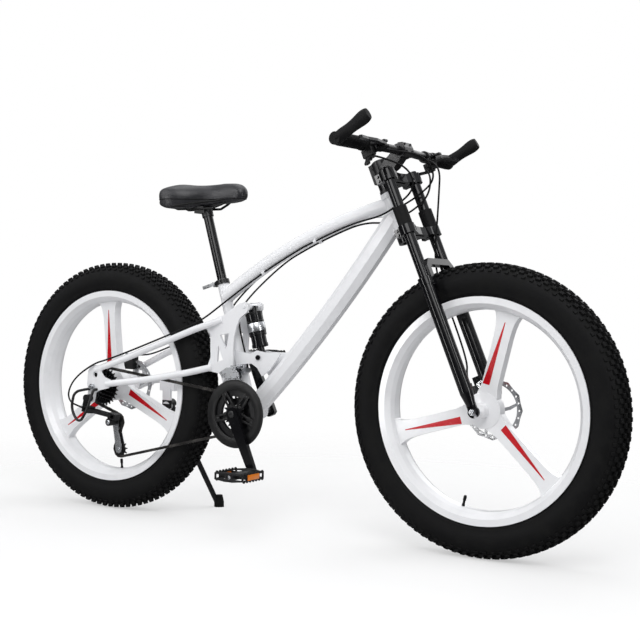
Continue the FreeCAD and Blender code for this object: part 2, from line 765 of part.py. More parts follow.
def main_frame():
    outsides, insides = frame_tubes()
    head_length = S.head_high - S.head_low
    outsides.append(cylinder("head tube", S.head_radius, head_length, (0, 0, S.head_low), Z, STEER))
    for name, foot in (("lower", S.head_low), ("upper", S.head_high - 14)):
        outsides.append(cylinder("head ring " + name, S.head_radius + 2.5, 14, (0, 0, foot), Z, STEER))
    insides.append(cylinder("head bore", S.head_bore, head_length + 60, (0, 0, S.head_low - 30), Z, STEER))
    outsides.append(cylinder("seat tube", S.seat_tube_radius, S.seat_tube_top, (0, 0, 0), Z, SEAT))
    bore = S.post_radius + S.run_clear
    insides.append(cylinder("seat bore", bore, S.seat_tube_top, (0, 0, S.shell_radius + 18), Z, SEAT))
    shell = (CRANK_X, -S.shell_half, S.crank_height)
    outsides.append(cylinder("crank shell", S.shell_radius, S.shell_half * 2, shell, Y))
    insides.append(cylinder("crank bore", S.shell_radius - S.shell_wall, S.shell_half * 2, shell, Y))
    lug = (PIVOT_X, -S.lug_half, PIVOT_Z)
    outsides.append(cylinder("pivot lug", S.pivot_boss, S.lug_half * 2, lug, Y))
    web = seat_point(S.pivot_up)
    link = ((float(PIVOT_X), float(PIVOT_Z) + 13), (web.x, web.z + 26), (web.x, web.z - 26), (float(PIVOT_X), float(PIVOT_Z) - 13))
    outsides.append(plate("pivot web", link, S.lug_half * 1.2, S.lug_half * 0.6))
    insides.append(cylinder("pivot bore", S.pivot_radius + S.run_clear, S.lug_half * 2, lug, Y))
    for name, side in SIDES:
        face = S.gusset_half if side > 0 else S.gusset_thick - S.gusset_half
        outsides.append(plate("shock gusset " + name, about(CRANK, GUSSET), S.gusset_thick, face))
    bolt = (SHOCK_LOW[0], -S.gusset_half, SHOCK_LOW[2])
    insides.append(cylinder("shock bolt hole", S.shock_bolt + S.run_clear, S.gusset_half * 2, bolt, Y))
    outsides.append(head_gusset())
    eyes, eye_holes = cable_guides()
    outsides += eyes
    insides += eye_holes
    node("main_frame", cut("frame weldment", fuse("frame outside", outsides), insides))


def head_gusset():
    """The web that fills the corner between the long tubes behind the head tube."""
    top = steer_point(0, 0, S.head_high - HEAD_TOP_JOIN)
    low = steer_point(0, 0, S.head_low + HEAD_DOWN_JOIN)
    back = (top + low) * 0.5 + V(-104, 0, -14)
    outline = [(top.x, top.z), (back.x, back.z + 8), (back.x, back.z - 8), (low.x, low.z)]
    return plate("head gusset", outline, 16, 8)


def bearing_cups():
    """Headset cups on the head tube's ends and bearing cups in the crank shell."""
    bore = S.steerer_radius + S.run_clear
    low = S.low_crown_foot + S.low_crown_height + S.part_gap
    cups = [tube("lower head cup", S.head_radius + 1, bore, S.head_low - low, (0, 0, low), Z, STEER)]
    rise = S.high_crown_foot - S.part_gap - S.head_high
    cups.append(tube("upper head cup", S.head_radius + 1, bore, rise, (0, 0, S.head_high), Z, STEER))
    for name, side in SIDES:
        base = (CRANK_X, S.shell_half * side, S.crank_height)
        lip = cylinder("crank cup lip " + name, S.shell_radius - 1, 2.5, base, Y * side)
        plug = cylinder("crank cup plug " + name, S.shell_radius - S.shell_wall - 0.05, 18, base, Y * -side)
        hole = (CRANK_X, (S.shell_half - 18) * side, S.crank_height)
        bore = cylinder("crank cup bore " + name, S.spindle_radius + S.run_clear, 24, hole, Y * side)
        cups.append(cut("crank cup " + name, fuse("crank cup solid " + name, [lip, plug]), [bore]))
    node("bearing_cups", *cups)


# Seat

def seat_group():
    collar_foot = S.seat_tube_top - 14
    ring = tube("seat collar ring", S.seat_tube_radius + 3.6, S.seat_tube_radius, 13, (0, 0, collar_foot), Z, SEAT)
    ear = box("seat collar ear", (13, 18, 13), (-S.seat_tube_radius - 7, 0, collar_foot + 6.5), SEAT)
    gap = box("seat collar gap", (22, 3, 20), (-S.seat_tube_radius - 12, 0, collar_foot + 6.5), SEAT)
    skin = cylinder("seat collar bore", S.seat_tube_radius, 13, (0, 0, collar_foot), Z, SEAT)
    node("seat_clamp", cut("seat collar", fuse("seat collar blank", [ring, ear]), [gap, skin]))
    post = cylinder("post tube", S.post_radius, S.post_top - S.post_foot, (0, 0, S.post_foot), Z, SEAT)
    hollow = cylinder("post hollow", S.post_radius - 2.4, S.post_top - S.post_foot - 8, (0, 0, S.post_foot), Z, SEAT)
    node("seatpost", cut("post", post, [hollow]))
    lever_eye = (-S.seat_tube_radius - 8, -9 - S.part_gap, collar_foot + 6.5)
    eye = cylinder("seat lever eye", 6, 8, lever_eye, Y * -1, SEAT)
    blade = box("seat lever blade", (40, 5, 9), (-S.seat_tube_radius - 26, -14, collar_foot + 6.5), SEAT)
    node("seat_clamp_lever", fuse("seat lever", [eye, blade]))
    saddle()


RAIL_HALF = 22
RAIL_RADIUS = 3.5
SADDLE_SECTIONS = (
    # x from the clamp, half width, underside, top, all from the rails' height
    (-114, 60, 30, 56), (-98, 76, 15, 68), (-62, 75, 11, 70), (-20, 54, 18, 66), (40, 29, 26, 66), (105, 22, 30, 71),
    (138, 19, 33, 68), (150, 12, 40, 56),
)


def saddle_section(x, half, low, high, crown):
    """Flat underside, drawn-in sides and a crowned top, as four edges."""
    side = half - 4
    knee = low + (high - low) * 0.45
    points = [V(x, -side, low), V(x, side, low), V(x, half, knee), V(x, side, high - crown), V(x, 0, high)]
    points += [V(x, -side, high - crown), V(x, -half, knee)]
    edges = [
        Part.LineSegment(points[0], points[1]).toShape(),
        Part.Arc(points[1], points[2], points[3]).toShape(),
        Part.Arc(points[3], points[4], points[5]).toShape(),
        Part.Arc(points[5], points[6], points[0]).toShape(),
    ]
    return Part.Wire(edges)


def saddle():
    """Clamp, rails, shell and padded cover, carried by the post's top."""
    top = seat_point(S.post_top)
    base = Placement(V(top.x - 14, 0, top.z + 7), Rotation())
    head = box("saddle clamp head", (36, 40, 13), (0, 0, -2), base)
    cap = box("saddle clamp cap", (34, 50, 6), (0, 0, 7.5), base)
    neck = cylinder("saddle clamp neck", S.post_radius + 3, 20, (0, 0, S.post_top - 12), Z, SEAT)
    core = cylinder("saddle clamp socket", S.post_radius, 24, (0, 0, S.post_top - 24), Z, SEAT)
    grooves = []
    for name, side in SIDES:
        groove = (-40, RAIL_HALF * side, 4.5)
        grooves.append(cylinder("rail groove " + name, RAIL_RADIUS + 0.05, 80, groove, X, base))
    node("saddle_clamp", cut("saddle clamp", fuse("saddle clamp blank", [head, cap, neck]), [core] + grooves))
    shell = Part.makeLoft([saddle_section(x, half - 3, low - 4, low + 3, 0.5) for x, half, low, high in SADDLE_SECTIONS], True)
    pad = Part.makeLoft([saddle_section(x, half, low + 3.2, high, (high - low) * 0.2) for x, half, low, high in SADDLE_SECTIONS], True)
    rails = []
    for name, side in SIDES:
        route = [(-104, 30 * side, 16), (-74, 25 * side, 4.5), (-56, RAIL_HALF * side, 4.5), (46, RAIL_HALF * side, 4.5)]
        route += [(76, 14 * side, 16), (96, 9 * side, 27)]
        rail, _, _ = pipe("saddle rail " + name, route, RAIL_RADIUS, 12)
        rails.append(formed("saddle rail " + name, rail, base))
    node("saddle_base", fuse("saddle shell with rails", [formed("saddle shell", shell, base)] + rails))
    node("saddle_pad", formed("saddle cover", pad, base))


# Fork and front end

BOLT_RADIUS = 4
BOLT_REACH = 26


def crown(label, foot, height):
    """A clamp plate that joins the steerer to both inner legs, with a split ear behind each leg."""
    clamp = S.stanchion_radius + S.clamp_wall
    leg = S.leg_half
    ahead = S.fork_rake
    half = [(ahead + 3, 0), (ahead + 5, leg * 0.36), (ahead + 12, leg * 0.6), (ahead + 13, leg), (ahead - 18, leg + 9)]
    half += [(ahead - 33, leg + 9), (ahead - 33, leg - 9), (ahead - 20, leg - 11), (ahead * 0.55, leg * 0.52), (-2, 20)]
    web = half + [(x, -y) for x, y in reversed(half[1:])]
    pieces = [plate(label + " web", web, height * 0.88, foot + height * 0.06, role="XY_Plane", frame=STEER)]
    pieces.append(cylinder(label + " boss", S.steerer_radius + 8, height, (0, 0, foot), Z, STEER))
    bores = [cylinder(label + " steerer bore", S.steerer_radius, height, (0, 0, foot), Z, STEER)]
    window = [(ahead - 8, -leg * 0.34), (ahead - 2, -leg * 0.34), (ahead - 2, leg * 0.34), (ahead - 8, leg * 0.34)]
    bores.append(plate(label + " window", window, height, foot, radius=2.5, role="XY_Plane", frame=STEER))
    for name, side in SIDES:
        pieces.append(cylinder("%s clamp %s" % (label, name), clamp, height, (ahead, leg * side, foot), Z, STEER))
        bores.append(cylinder("%s bore %s" % (label, name), S.stanchion_radius, height, (ahead, leg * side, foot), Z, STEER))
        for level in (0.28, 0.72):
            bolt = (ahead - clamp - 5, leg * side - BOLT_REACH * 0.5, foot + height * level)
            pieces.append(cylinder("%s bolt %s" % (label, name), BOLT_RADIUS, BOLT_REACH, bolt, Y, STEER))
    return cut(label, fuse(label + " blank", pieces), bores)


def fork_top():
    """Crowns with the steerer between them, inner legs and bumpers."""
    low = crown("lower crown", S.low_crown_foot, S.low_crown_height)
    high = crown("upper crown", S.high_crown_foot, S.high_crown_height)
    length = S.steerer_top - S.low_crown_foot
    rod = tube("steerer", S.steerer_radius, S.steerer_radius - 2.2, length, (0, 0, S.low_crown_foot), Z, STEER)
    node("fork_crowns", fuse("crowns and steerer", [low, high, rod]))
    legs = []
    bumpers = []
    length = S.stanchion_top - S.stanchion_foot
    rest = S.low_crown_foot + S.low_crown_height
    for name, side in SIDES:
        base = (S.fork_rake, S.leg_half * side, S.stanchion_foot)
        stem = cylinder("inner leg rod " + name, S.stanchion_radius, length, base, Z, STEER)
        hollow = cylinder("inner leg hollow " + name, S.stanchion_radius - 2.2, length - 20, base, Z, STEER)
        legs.append(cut("inner leg " + name, stem, [hollow]))
        seat = (S.fork_rake, S.leg_half * side, rest)
        bore = S.stanchion_radius + S.run_clear
        bumpers.append(tube("bumper " + name, S.bumper_radius, bore, S.bumper_height, seat, Z, STEER))
    node("stanchions", *legs)
    node("stanchion_bumpers", *bumpers)


ACROSS = Rotation(V(1, 1, 1), 120)


def fork_brace():
    """The arch that ties the outer legs over the tyre."""
    top = S.arch_rise
    foot = S.leg_top - 26
    leg = S.leg_half
    bar = S.arch_bar
    outside = [(leg + 4, foot), (leg + 4, top - 18), (leg - 12, top)]
    inside = [(leg - 14, foot), (leg - 14, top - bar - 8), (leg - 22, top - bar)]
    outline = outside + [(-y, z) for y, z in reversed(outside)]
    outline += [(-y, z) for y, z in inside] + list(reversed(inside))
    frame = STEER.multiply(Placement(V(float(S.fork_rake) + 3.5, 0, 0), ACROSS))
    return plate("fork brace", outline, bar, role="XY_Plane", frame=frame)


def fork_lowers():
    """Outer legs with seals, dropouts, brace and brake post in one casting."""
    pieces = []
    bores = []
    for name, side in SIDES:
        base = (S.fork_rake, S.leg_half * side, S.leg_foot + 34)
        pieces.append(cylinder("outer leg " + name, S.leg_radius, S.leg_top - S.leg_foot - 34, base, Z, STEER))
        foot = (S.fork_rake, S.leg_half * side, S.leg_foot + 34)
        pieces.append(cone("outer leg foot " + name, S.leg_radius, S.leg_radius * 0.66, 34, foot, Z * -1, STEER))
        seal = (S.fork_rake, S.leg_half * side, S.leg_top - S.seal_height)
        pieces.append(cylinder("dust seal " + name, S.seal_radius, S.seal_height, seal, Z, STEER))
        bore = (S.fork_rake, S.leg_half * side, S.leg_foot + 40)
        bores.append(cylinder("leg bore " + name, S.stanchion_radius + S.run_clear, S.leg_top, bore, Z, STEER))
        drop_in = S.front_drop_inside + S.part_gap
        blade = (S.fork_rake, (drop_in + S.drop_thick * 0.5) * side, 10)
        pieces.append(box("dropout blade " + name, (24, S.drop_thick, 34), blade, STEER))
        boss = (S.fork_rake, drop_in * side, 0)
        pieces.append(cylinder("dropout boss " + name, 15, S.drop_thick, boss, Y * side, STEER))
    axle = (S.fork_rake, -S.leg_half - 20, 0)
    bores.append(cylinder("dropout bore", S.axle_radius, S.leg_half * 2 + 40, axle, Y, STEER))
    bores.append(box("dropout slot", (S.axle_radius * 2, S.leg_half * 2 + 40, 30), (S.fork_rake, 0, -15), STEER))
    pieces.append(fork_brace())
    tab = (S.fork_rake - 20, S.front_rotor_y + 20, 72)
    pieces.append(box("brake post", (26, 8, 46), tab, STEER))
    node("fork_lowers", cut("fork casting", fuse("fork casting blank", pieces), bores))


STEM_WIDTH = 34
STEM_EYE_WIDTH = 46


def cockpit():
    """Stem, handlebar and grips with horns."""
    foot = S.high_crown_foot + S.high_crown_height
    height = S.steerer_top - foot
    bar = S.bar_ahead
    rise = S.bar_rise
    round_eye = S.bar_bulge + 6
    clamp = cylinder("stem clamp", S.steerer_radius + 5.5, height, (0, 0, foot), Z, STEER)
    ear = [(-S.steerer_radius - 15, -8), (-S.steerer_radius, -10), (-S.steerer_radius, 10), (-S.steerer_radius - 15, 8)]
    pieces = [clamp, plate("stem ear", ear, height, foot, role="XY_Plane", frame=STEER)]
    pieces.append(cylinder("stem eye", round_eye, STEM_EYE_WIDTH, (bar, STEM_EYE_WIDTH * -0.5, rise), Y, STEER))
    neck = [(0, foot + 6), (0, rise - 16), (bar * 0.4, rise - 2), (bar - 4, rise + 14), (bar + 3, rise - 16)]
    neck += [(bar * 0.6, rise - 34)]
    pieces.append(plate("stem neck", neck, STEM_WIDTH, STEM_WIDTH * 0.5, frame=STEER))
    cap = [(bar + 7, rise - 20), (bar + round_eye + 2, rise - 15), (bar + round_eye + 4, rise), (bar + round_eye + 2, rise + 15)]
    cap += [(bar + 7, rise + 20)]
    pieces.append(plate("stem cap", cap, STEM_EYE_WIDTH, STEM_EYE_WIDTH * 0.5, frame=STEER))
    bores = [cylinder("stem bore", S.steerer_radius, 80, (0, 0, foot - 10), Z, STEER)]
    bores.append(cylinder("stem bar bore", S.bar_bulge, 60, (bar, -30, rise), Y, STEER))
    node("stem", cut("stem body", fuse("stem blank", pieces), bores))
    handlebar()
    grips()


def bar_point(side, share):
    """A point of the bar: share 0 at the middle of its bend, 1 at its end."""
    start = 60
    across = start + (float(S.bar_half) - start) * share
    return (float(S.bar_ahead) - float(S.bar_sweep) * share, across * side, float(S.bar_rise) + 6 * share)


def handlebar():
    route = [bar_point(-1, 1), bar_point(-1, 0), bar_point(1, 0), bar_point(1, 1)]
    shape, _, _ = pipe("bar", route, S.bar_radius, 160)
    bulge = cylinder("bar bulge", S.bar_bulge, 64, (S.bar_ahead, -32, S.bar_rise), Y, STEER)
    node("handlebar", fuse("bar with bulge", [formed("bar tube", shape, STEER), bulge]))


def bar_frame(side, across):
    """A frame on the straight outer part of the bar: z along it outwards, x ahead."""
    inner = vector(bar_point(side, 0))
    outer = vector(bar_point(side, 1))
    along = (outer - inner).normalize()
    share = (float(across) - abs(inner.y)) / (abs(outer.y) - abs(inner.y))
    spot = inner + (outer - inner) * share
    ahead = (X - along * X.dot(along)).normalize()
    rest = along.cross(ahead)
    matrix = FreeCAD.Matrix(ahead.x, rest.x, along.x, spot.x, ahead.y, rest.y, along.y, spot.y,
                            ahead.z, rest.z, along.z, spot.z, 0, 0, 0, 1)
    return STEER.multiply(Placement(matrix))


HORN_LIFT = 8
HORN_SECTIONS = (
    # share of the length, half along the bar, half of the height
    (0, 14.5, 14), (0.3, 12, 15.5), (0.67, 11, 17), (0.96, 10.5, 16.5), (1, 9, 14.5),
)


def horn_section(ahead, wide, tall):
    """An oval across the horn."""
    oval = Part.Wire(Part.makeCircle(1, V(), X))
    stretch = FreeCAD.Matrix()
    stretch.scale(1, tall, wide)
    oval = oval.transformGeometry(stretch)
    oval.translate(V(ahead, 0, 0))
    return oval


def grips():
    pieces = []
    for name, side in SIDES:
        end = bar_frame(side, S.bar_half)
        sleeve = cylinder("grip sleeve " + name, S.grip_radius, S.grip_length, (0, 0, -S.grip_length), Z, end)
        flange = cylinder("grip flange " + name, S.grip_radius + 2.5, 5, (0, 0, -S.grip_length), Z, end)
        cap = cylinder("grip cap " + name, S.grip_radius, 8, (0, 0, 0), Z, end)
        reach = float(S.horn_length)
        horn = Part.makeLoft([horn_section(share * reach, wide, tall) for share, wide, tall in HORN_SECTIONS], True)
        root = end.multiply(Placement(V(0, 0, -5), Rotation(Z, -HORN_LIFT * side)))
        bore = cylinder("grip bore " + name, S.bar_radius, S.grip_length, (0, 0, -S.grip_length), Z, end)
        blank = fuse("grip blank " + name, [sleeve, flange, cap, formed("horn " + name, horn, root)])
        pieces.append(cut("grip " + name, blank, [bore]))
    node("grips", *pieces)


# Swingarm

CHEEK = (
    (-22, 305), (-4, 309.5), (8, 304), (9, 290), (2, 280), (-19, 265), (-31, 240), (-39, 210), (-41, 175), (-41, 120),
    (-44, 78), (-59, 63), (-74, 76), (-84, 105), (-126, 112), (-128, 132), (-120, 150), (-122, 215), (-134, 228),
    (-138, 248), (-74, 272),
)
CHEEK_WINDOWS = (((-88, 215), (-56, 221), (-66, 173)), ((-94, 186), (-76, 145), (-97, 138)))
DROPOUT = ((62, 24), (40, 30), (30, 42), (24, 62), (-8, 64), (-20, 46), (-24, 6), (-20, -14))
DROPOUT_FOOT = ((8, -18), (24, -10), (58, -2))
HANGER = ((-21, -46), (2, -46))
DROPOUT_WINDOW = (8, 36)
HANGER_BOLT = (-10, -34)


def stay_path(side, upper):
    """Corner points of a stay, from the side plate to the dropout."""
    drop = (float(S.rear_drop_inside) + float(S.drop_thick) / 2) * side
    crank_x = float(CRANK_X)
    crank_z = float(S.crank_height)
    rear_x = float(REAR_X)
    axle_z = float(S.tyre_radius)
    if upper:
        return [(crank_x - 84, 34 * side, crank_z + 258), (crank_x - 156, 64 * side, crank_z + 230),
                (rear_x + 130, 73 * side, axle_z + 98), (rear_x + 6, drop, axle_z + 49)]
    return [(crank_x - 118, 35 * side, crank_z + 122), (crank_x - 179, 70 * side, crank_z + 105),
            (rear_x + 180, 84 * side, axle_z + 28), (rear_x + 50, drop, axle_z + 10)]


def swingarm():
    pieces = []
    holes = []
    inside = S.cheek_inside
    outside = S.cheek_inside + S.cheek_thick
    for name, side in SIDES:
        face = outside if side > 0 else -inside
        windows = [about(CRANK, window) for window in CHEEK_WINDOWS]
        pieces.append(plate("cheek " + name, about(CRANK, CHEEK), S.cheek_thick, face, windows=windows))
        boss = (PIVOT_X, (S.lug_half + S.part_gap) * side, PIVOT_Z)
        pieces.append(cylinder("swing boss " + name, S.pivot_boss, outside + 3 - S.lug_half - S.part_gap, boss, Y * side))
        eye = (SHOCK_HIGH[0], (S.eye_half + 1) * side, SHOCK_HIGH[2])
        pieces.append(cylinder("shock boss " + name, S.eye_radius, outside - S.eye_half - 1, eye, Y * side))
        for kind, upper in (("upper", True), ("lower", False)):
            stay, _, _ = pipe("%s stay %s" % (kind, name), stay_path(side, upper), S.stay_radius, 60)
            pieces.append(formed("%s stay %s" % (kind, name), stay))
        outline = DROPOUT + (HANGER if side < 0 else ()) + DROPOUT_FOOT
        face = S.rear_drop_inside + S.drop_thick if side > 0 else -S.rear_drop_inside
        centre = (float(REAR_X), float(S.tyre_radius))
        window = (centre[0] + DROPOUT_WINDOW[0], centre[1] + DROPOUT_WINDOW[1])
        rounds = [(centre, S.axle_radius + S.run_clear), (window, 9)]
        pieces.append(plate("dropout " + name, about(REAR_AXLE, outline), S.drop_thick, face, rounds))
    for name, back, up in (("high", -116, 180), ("low", -110, 121)):
        base = (CRANK_X + back, -inside - 1, S.crank_height + up)
        pieces.append(cylinder("bridge " + name, 8, (inside + 1) * 2, base, Y))
    bolt = (SHOCK_HIGH[0], -outside - 4, SHOCK_HIGH[2])
    pieces.append(cylinder("upper shock bolt", S.shock_bolt, (outside + 4) * 2, bolt, Y))
    holes.append(cylinder("swing bore", S.pivot_radius, 120, (PIVOT_X, -60, PIVOT_Z), Y))
    clear = S.rear_drop_inside * 2
    holes.append(cylinder("axle clearance", S.axle_radius + S.run_clear, clear + 40, (REAR_X, -S.rear_drop_inside - 20, S.tyre_radius), Y))
    room = (REAR_X, -S.rear_drop_inside, S.tyre_radius)
    holes.append(cylinder("hub clearance", 70, clear, room, Y))
    node("swingarm", cut("swingarm weldment", fuse("swingarm blank", pieces), holes))
    reach = outside + 3
    rod = cylinder("pivot rod", S.pivot_radius, reach * 2, (PIVOT_X, -reach, PIVOT_Z), Y)
    heads = []
    for name, side in SIDES:
        heads.append(cylinder("pivot head " + name, S.pivot_radius + 3.5, 4, (PIVOT_X, reach * side, PIVOT_Z), Y * side))
    node("pivot_axle", fuse("pivot bolt", [rod] + heads))


# Shock absorber

SHOCK_AXIS = vector(SHOCK_HIGH) - vector(SHOCK_LOW)
SHOCK = Placement(vector(SHOCK_LOW), Rotation(Z, SHOCK_AXIS))
SHOCK_LENGTH = SHOCK_AXIS.Length
SLEEVE_FOOT = 30
SLEEVE_TOP = 92
COVER_FOOT = 62
COVER_END = 17


def shock():
    """Two sleeves that slide into each other, with an eye at each end."""
    eye = cylinder("lower eye", S.eye_radius, S.eye_half * 2, (0, -S.eye_half, 0), Y, SHOCK)
    neck = cylinder("lower neck", S.eye_half - 2.5, SLEEVE_FOOT, (0, 0, 4), Z, SHOCK)
    sleeve = cylinder("lower sleeve", S.shock_inner, SLEEVE_TOP - SLEEVE_FOOT, (0, 0, SLEEVE_FOOT), Z, SHOCK)
    collar = cylinder("lower collar", S.shock_inner + 1.6, 8, (0, 0, SLEEVE_FOOT), Z, SHOCK)
    reach = S.gusset_half + 1
    rod = cylinder("lower shock bolt", S.shock_bolt, reach * 2, (0, -reach, 0), Y, SHOCK)
    heads = []
    for name, side in SIDES:
        heads.append(cylinder("lower bolt head " + name, S.shock_bolt + 3, 4, (0, reach * side, 0), Y * side, SHOCK))
    node("shock_shaft", fuse("lower shock", [eye, neck, sleeve, collar, rod] + heads))
    top = SHOCK_LENGTH - COVER_END
    cover = cylinder("upper cover", S.shock_radius, top - COVER_FOOT, (0, 0, COVER_FOOT), Z, SHOCK)
    band = cylinder("cover band", S.shock_radius + 0.8, 16, (0, 0, COVER_FOOT + 10), Z, SHOCK)
    head = cylinder("upper neck", S.eye_half - 1, COVER_END, (0, 0, top), Z, SHOCK)
    eye = cylinder("upper eye", S.eye_radius, S.eye_half * 2, (0, -S.eye_half, SHOCK_LENGTH), Y, SHOCK)
    room = cylinder("cover room", S.shock_inner + S.part_gap, top - COVER_FOOT - 7, (0, 0, COVER_FOOT), Z, SHOCK)
    bore = cylinder("upper eye bore", S.shock_bolt + S.shock_play, 60, (0, -30, SHOCK_LENGTH), Y, SHOCK)
    node("shock_body", cut("upper shock", fuse("upper shock blank", [cover, band, head, eye]), [room, bore]))


# Chainwheels, sprockets and chain

def pitch_radius(teeth):
    return float(S.chain_pitch) / (2 * math.sin(math.pi / float(teeth)))


def toothed(name, centre, teeth, middle, thick, hole, phase=0.0):
    """A chainwheel whose gaps take the chain's rollers, one gap at the given angle."""
    pitch = pitch_radius(teeth)
    root = pitch - float(S.chain_pitch) * 0.33
    tip = pitch + float(S.chain_pitch) * 0.27
    count = int(round(float(teeth)))
    step = 2 * math.pi / count
    points = []
    for i in range(count):
        for turn, radius in ((-0.21, root), (0.21, root), (0.42, tip), (0.58, tip)):
            angle = phase + (i + turn) * step
            points.append(V(math.cos(angle) * radius, 0, math.sin(angle) * radius))
    blank = Part.Face(Part.makePolygon(points + points[:1])).extrude(V(0, float(thick), 0))
    bore = Part.makeCylinder(float(hole), float(thick) + 2, V(0, -1, 0), Y)
    place = Placement(V(float(centre[0]), float(middle) - float(thick) / 2, float(centre[2])), Rotation())
    return formed(name, blank.cut(bore), place)


def chain_route():
    """Wheels of the chain in running order: centre, pitch radius and sense of turning."""
    return (
        (vector(CRANK), pitch_radius(S.small_ring), -1),
        (LOWER_JOCKEY, pitch_radius(S.jockey_teeth), -1),
        (UPPER_JOCKEY, pitch_radius(S.jockey_teeth), 1),
        (vector(REAR_AXLE), pitch_radius(COGS[0]), -1),
    )


def tangent_angle(start, end):
    """Heading of the straight run between two wheels of the chain."""
    gap = end[0] - start[0]
    lean = (end[1] * end[2] - start[1] * start[2]) / math.hypot(gap.x, gap.z)
    return math.atan2(gap.z, gap.x) - math.asin(lean)


def chain_points():
    """Pin positions along the closed chain, at an even count of equal steps."""
    route = chain_route()
    count = len(route)
    headings = [tangent_angle(route[i], route[(i + 1) % count]) for i in range(count)]
    spans = []
    for i in range(count):
        centre, radius, sense = route[i]
        turn = (headings[i] - headings[i - 1]) % (2 * math.pi)
        if sense < 0:
            turn -= 2 * math.pi
        spans.append(("arc", centre, radius, sense, headings[i - 1], abs(turn) * radius))
        start = rim_point(centre, radius, sense, headings[i])
        after, after_radius, after_sense = route[(i + 1) % count]
        end = rim_point(after, after_radius, after_sense, headings[i])
        spans.append(("run", start, end, (end - start).Length))
    total = sum(span[-1] for span in spans)
    links = 2 * int(round(total / float(S.chain_pitch) / 2))
    return [walk(spans, total * i / links) for i in range(links)], total


def rim_point(centre, radius, sense, heading):
    return V(centre.x + math.sin(heading) * radius * sense, 0, centre.z - math.cos(heading) * radius * sense)


def walk(spans, distance):
    for span in spans:
        if distance <= span[-1]:
            break
        distance -= span[-1]
    if span[0] == "run":
        return span[1] + (span[2] - span[1]) * (distance / span[-1])
    _, centre, radius, sense, heading, _ = span
    return rim_point(centre, radius, sense, heading + sense * distance / radius)


LINK_END = 3.9
PLATE_THICK = 0.9
INNER_GAP = 1.5
OUTER_GAP = 2.5


def link_plate(length, side):
    """One side plate of a link as a six-cornered outline, lying from the given side position."""
    half = length / 2
    corners = ((half + LINK_END, 0), (half, LINK_END), (-half, LINK_END))
    corners += tuple((-a, -b) for a, b in corners)
    points = [V(a, side, b) for a, b in corners]
    return Part.Face(Part.makePolygon(points + points[:1])).extrude(V(0, PLATE_THICK, 0))


def roller(ahead):
    points = [V(ahead + 3.4 * math.cos(i * math.pi / 3), -INNER_GAP, 3.4 * math.sin(i * math.pi / 3)) for i in range(6)]
    return Part.Face(Part.makePolygon(points + points[:1])).extrude(V(0, INNER_GAP * 2, 0))


def chain():
    pins, total = chain_points()
    step = (pins[1] - pins[0]).Length
    inner = link_plate(step, INNER_GAP).multiFuse([link_plate(step, -INNER_GAP - PLATE_THICK), roller(step / 2), roller(-step / 2)])
    outer = [link_plate(step, OUTER_GAP), link_plate(step, -OUTER_GAP - PLATE_THICK)]
    solids = []
    for i, pin in enumerate(pins):
        after = pins[(i + 1) % len(pins)]
        spot = (pin + after) * 0.5 + V(0, float(S.chain_y), 0)
        heading = Placement(spot, Rotation(X, after - pin))
        for solid in ([inner] if i % 2 == 0 else outer):
            solids.append(placed_copy(solid, heading))
    node("chain", formed("chain links", Part.makeCompound(solids)))
    print("chain: %d links, %.1f mm" % (len(pins), total))


def placed_copy(shape, placement):
    copy = shape.copy()
    copy.Placement = placement
    return copy


def roller_phase(centre):
    """Angle about a wheel's centre of the chain pin nearest to it."""
    pins, _ = chain_points()
    spot = vector(centre)
    near = min(pins, key=lambda pin: math.hypot(pin.x - spot.x, pin.z - spot.z))
    return math.atan2(near.z - spot.z, near.x - spot.x)


COGS = (28, 24, 22, 20, 18, 16, 14)


def sprockets():
    inner = S.chain_y + 4.5
    outer = -REAR_HUB_END
    bore = SPIGOT + S.run_clear
    pieces = [tube("freewheel body", SPIGOT + 9, bore, inner - outer, (REAR_X, outer, S.tyre_radius), Y)]
    phase = roller_phase(REAR_AXLE)
    for i, teeth in enumerate(COGS):
        middle = S.chain_y - S.cog_step * i
        pieces.append(toothed("cog %d" % teeth, REAR_AXLE, teeth, middle, S.ring_thick, SPIGOT + 5, phase))
    node("freewheel", fuse("freewheel block", pieces))


CRANK_INNER = 84
CRANK_THICK = 13
PEDAL_INNER = 104
PEDAL_WIDTH = 98
ARM = ((-17, 12), (-8, 18), (8, 18), (17, 12), (17, -8), (12, -150), (11, -176), (5, -183), (-5, -183), (-11, -176), (-12, -150), (-17, -8))


def crank_frame(side):
    turn = -float(S.crank_turn) if side < 0 else 180 - float(S.crank_turn)
    return Placement(vector(CRANK), Rotation(Y, turn))


def ring_points(radius, count, start):
    """Even places round the crank axis."""
    for i in range(count):
        angle = math.radians(start + FULL_TURN * i / count)
        yield (CRANK_X + math.cos(angle) * radius, S.crank_height + math.sin(angle) * radius)


def cranks():
    reach = CRANK_INNER + CRANK_THICK
    node("crank_spindle", cylinder("spindle", S.spindle_radius, reach * 2, (CRANK_X, -reach, S.crank_height), Y))
    axles = []
    for name, side in SIDES:
        frame = crank_frame(side)
        face = reach if side > 0 else -CRANK_INNER
        stretch = float(S.crank_length) / 170
        outline = [(a, b * stretch) if b < 0 else (a, b) for a, b in ARM]
        holes = [((0, 0), S.spindle_radius), ((0, -S.crank_length), 6)]
        node(name + "_crank", plate("crank arm " + name, outline, CRANK_THICK, face, holes, frame=frame))
        base = (0, CRANK_INNER * side, -S.crank_length)
        rod = cylinder("pedal rod " + name, 6, PEDAL_INNER + PEDAL_WIDTH - CRANK_INNER - 4, base, Y * side, frame)
        flange = cylinder("pedal flange " + name, 9, 5, (0, reach * side, -S.crank_length), Y * side, frame)
        axles.append(fuse("pedal axle " + name, [rod, flange]))
        pedal(name, side, frame.multVec(vector((0, 0, -S.crank_length))))
    node("pedal_axles", *axles)
    chainrings()


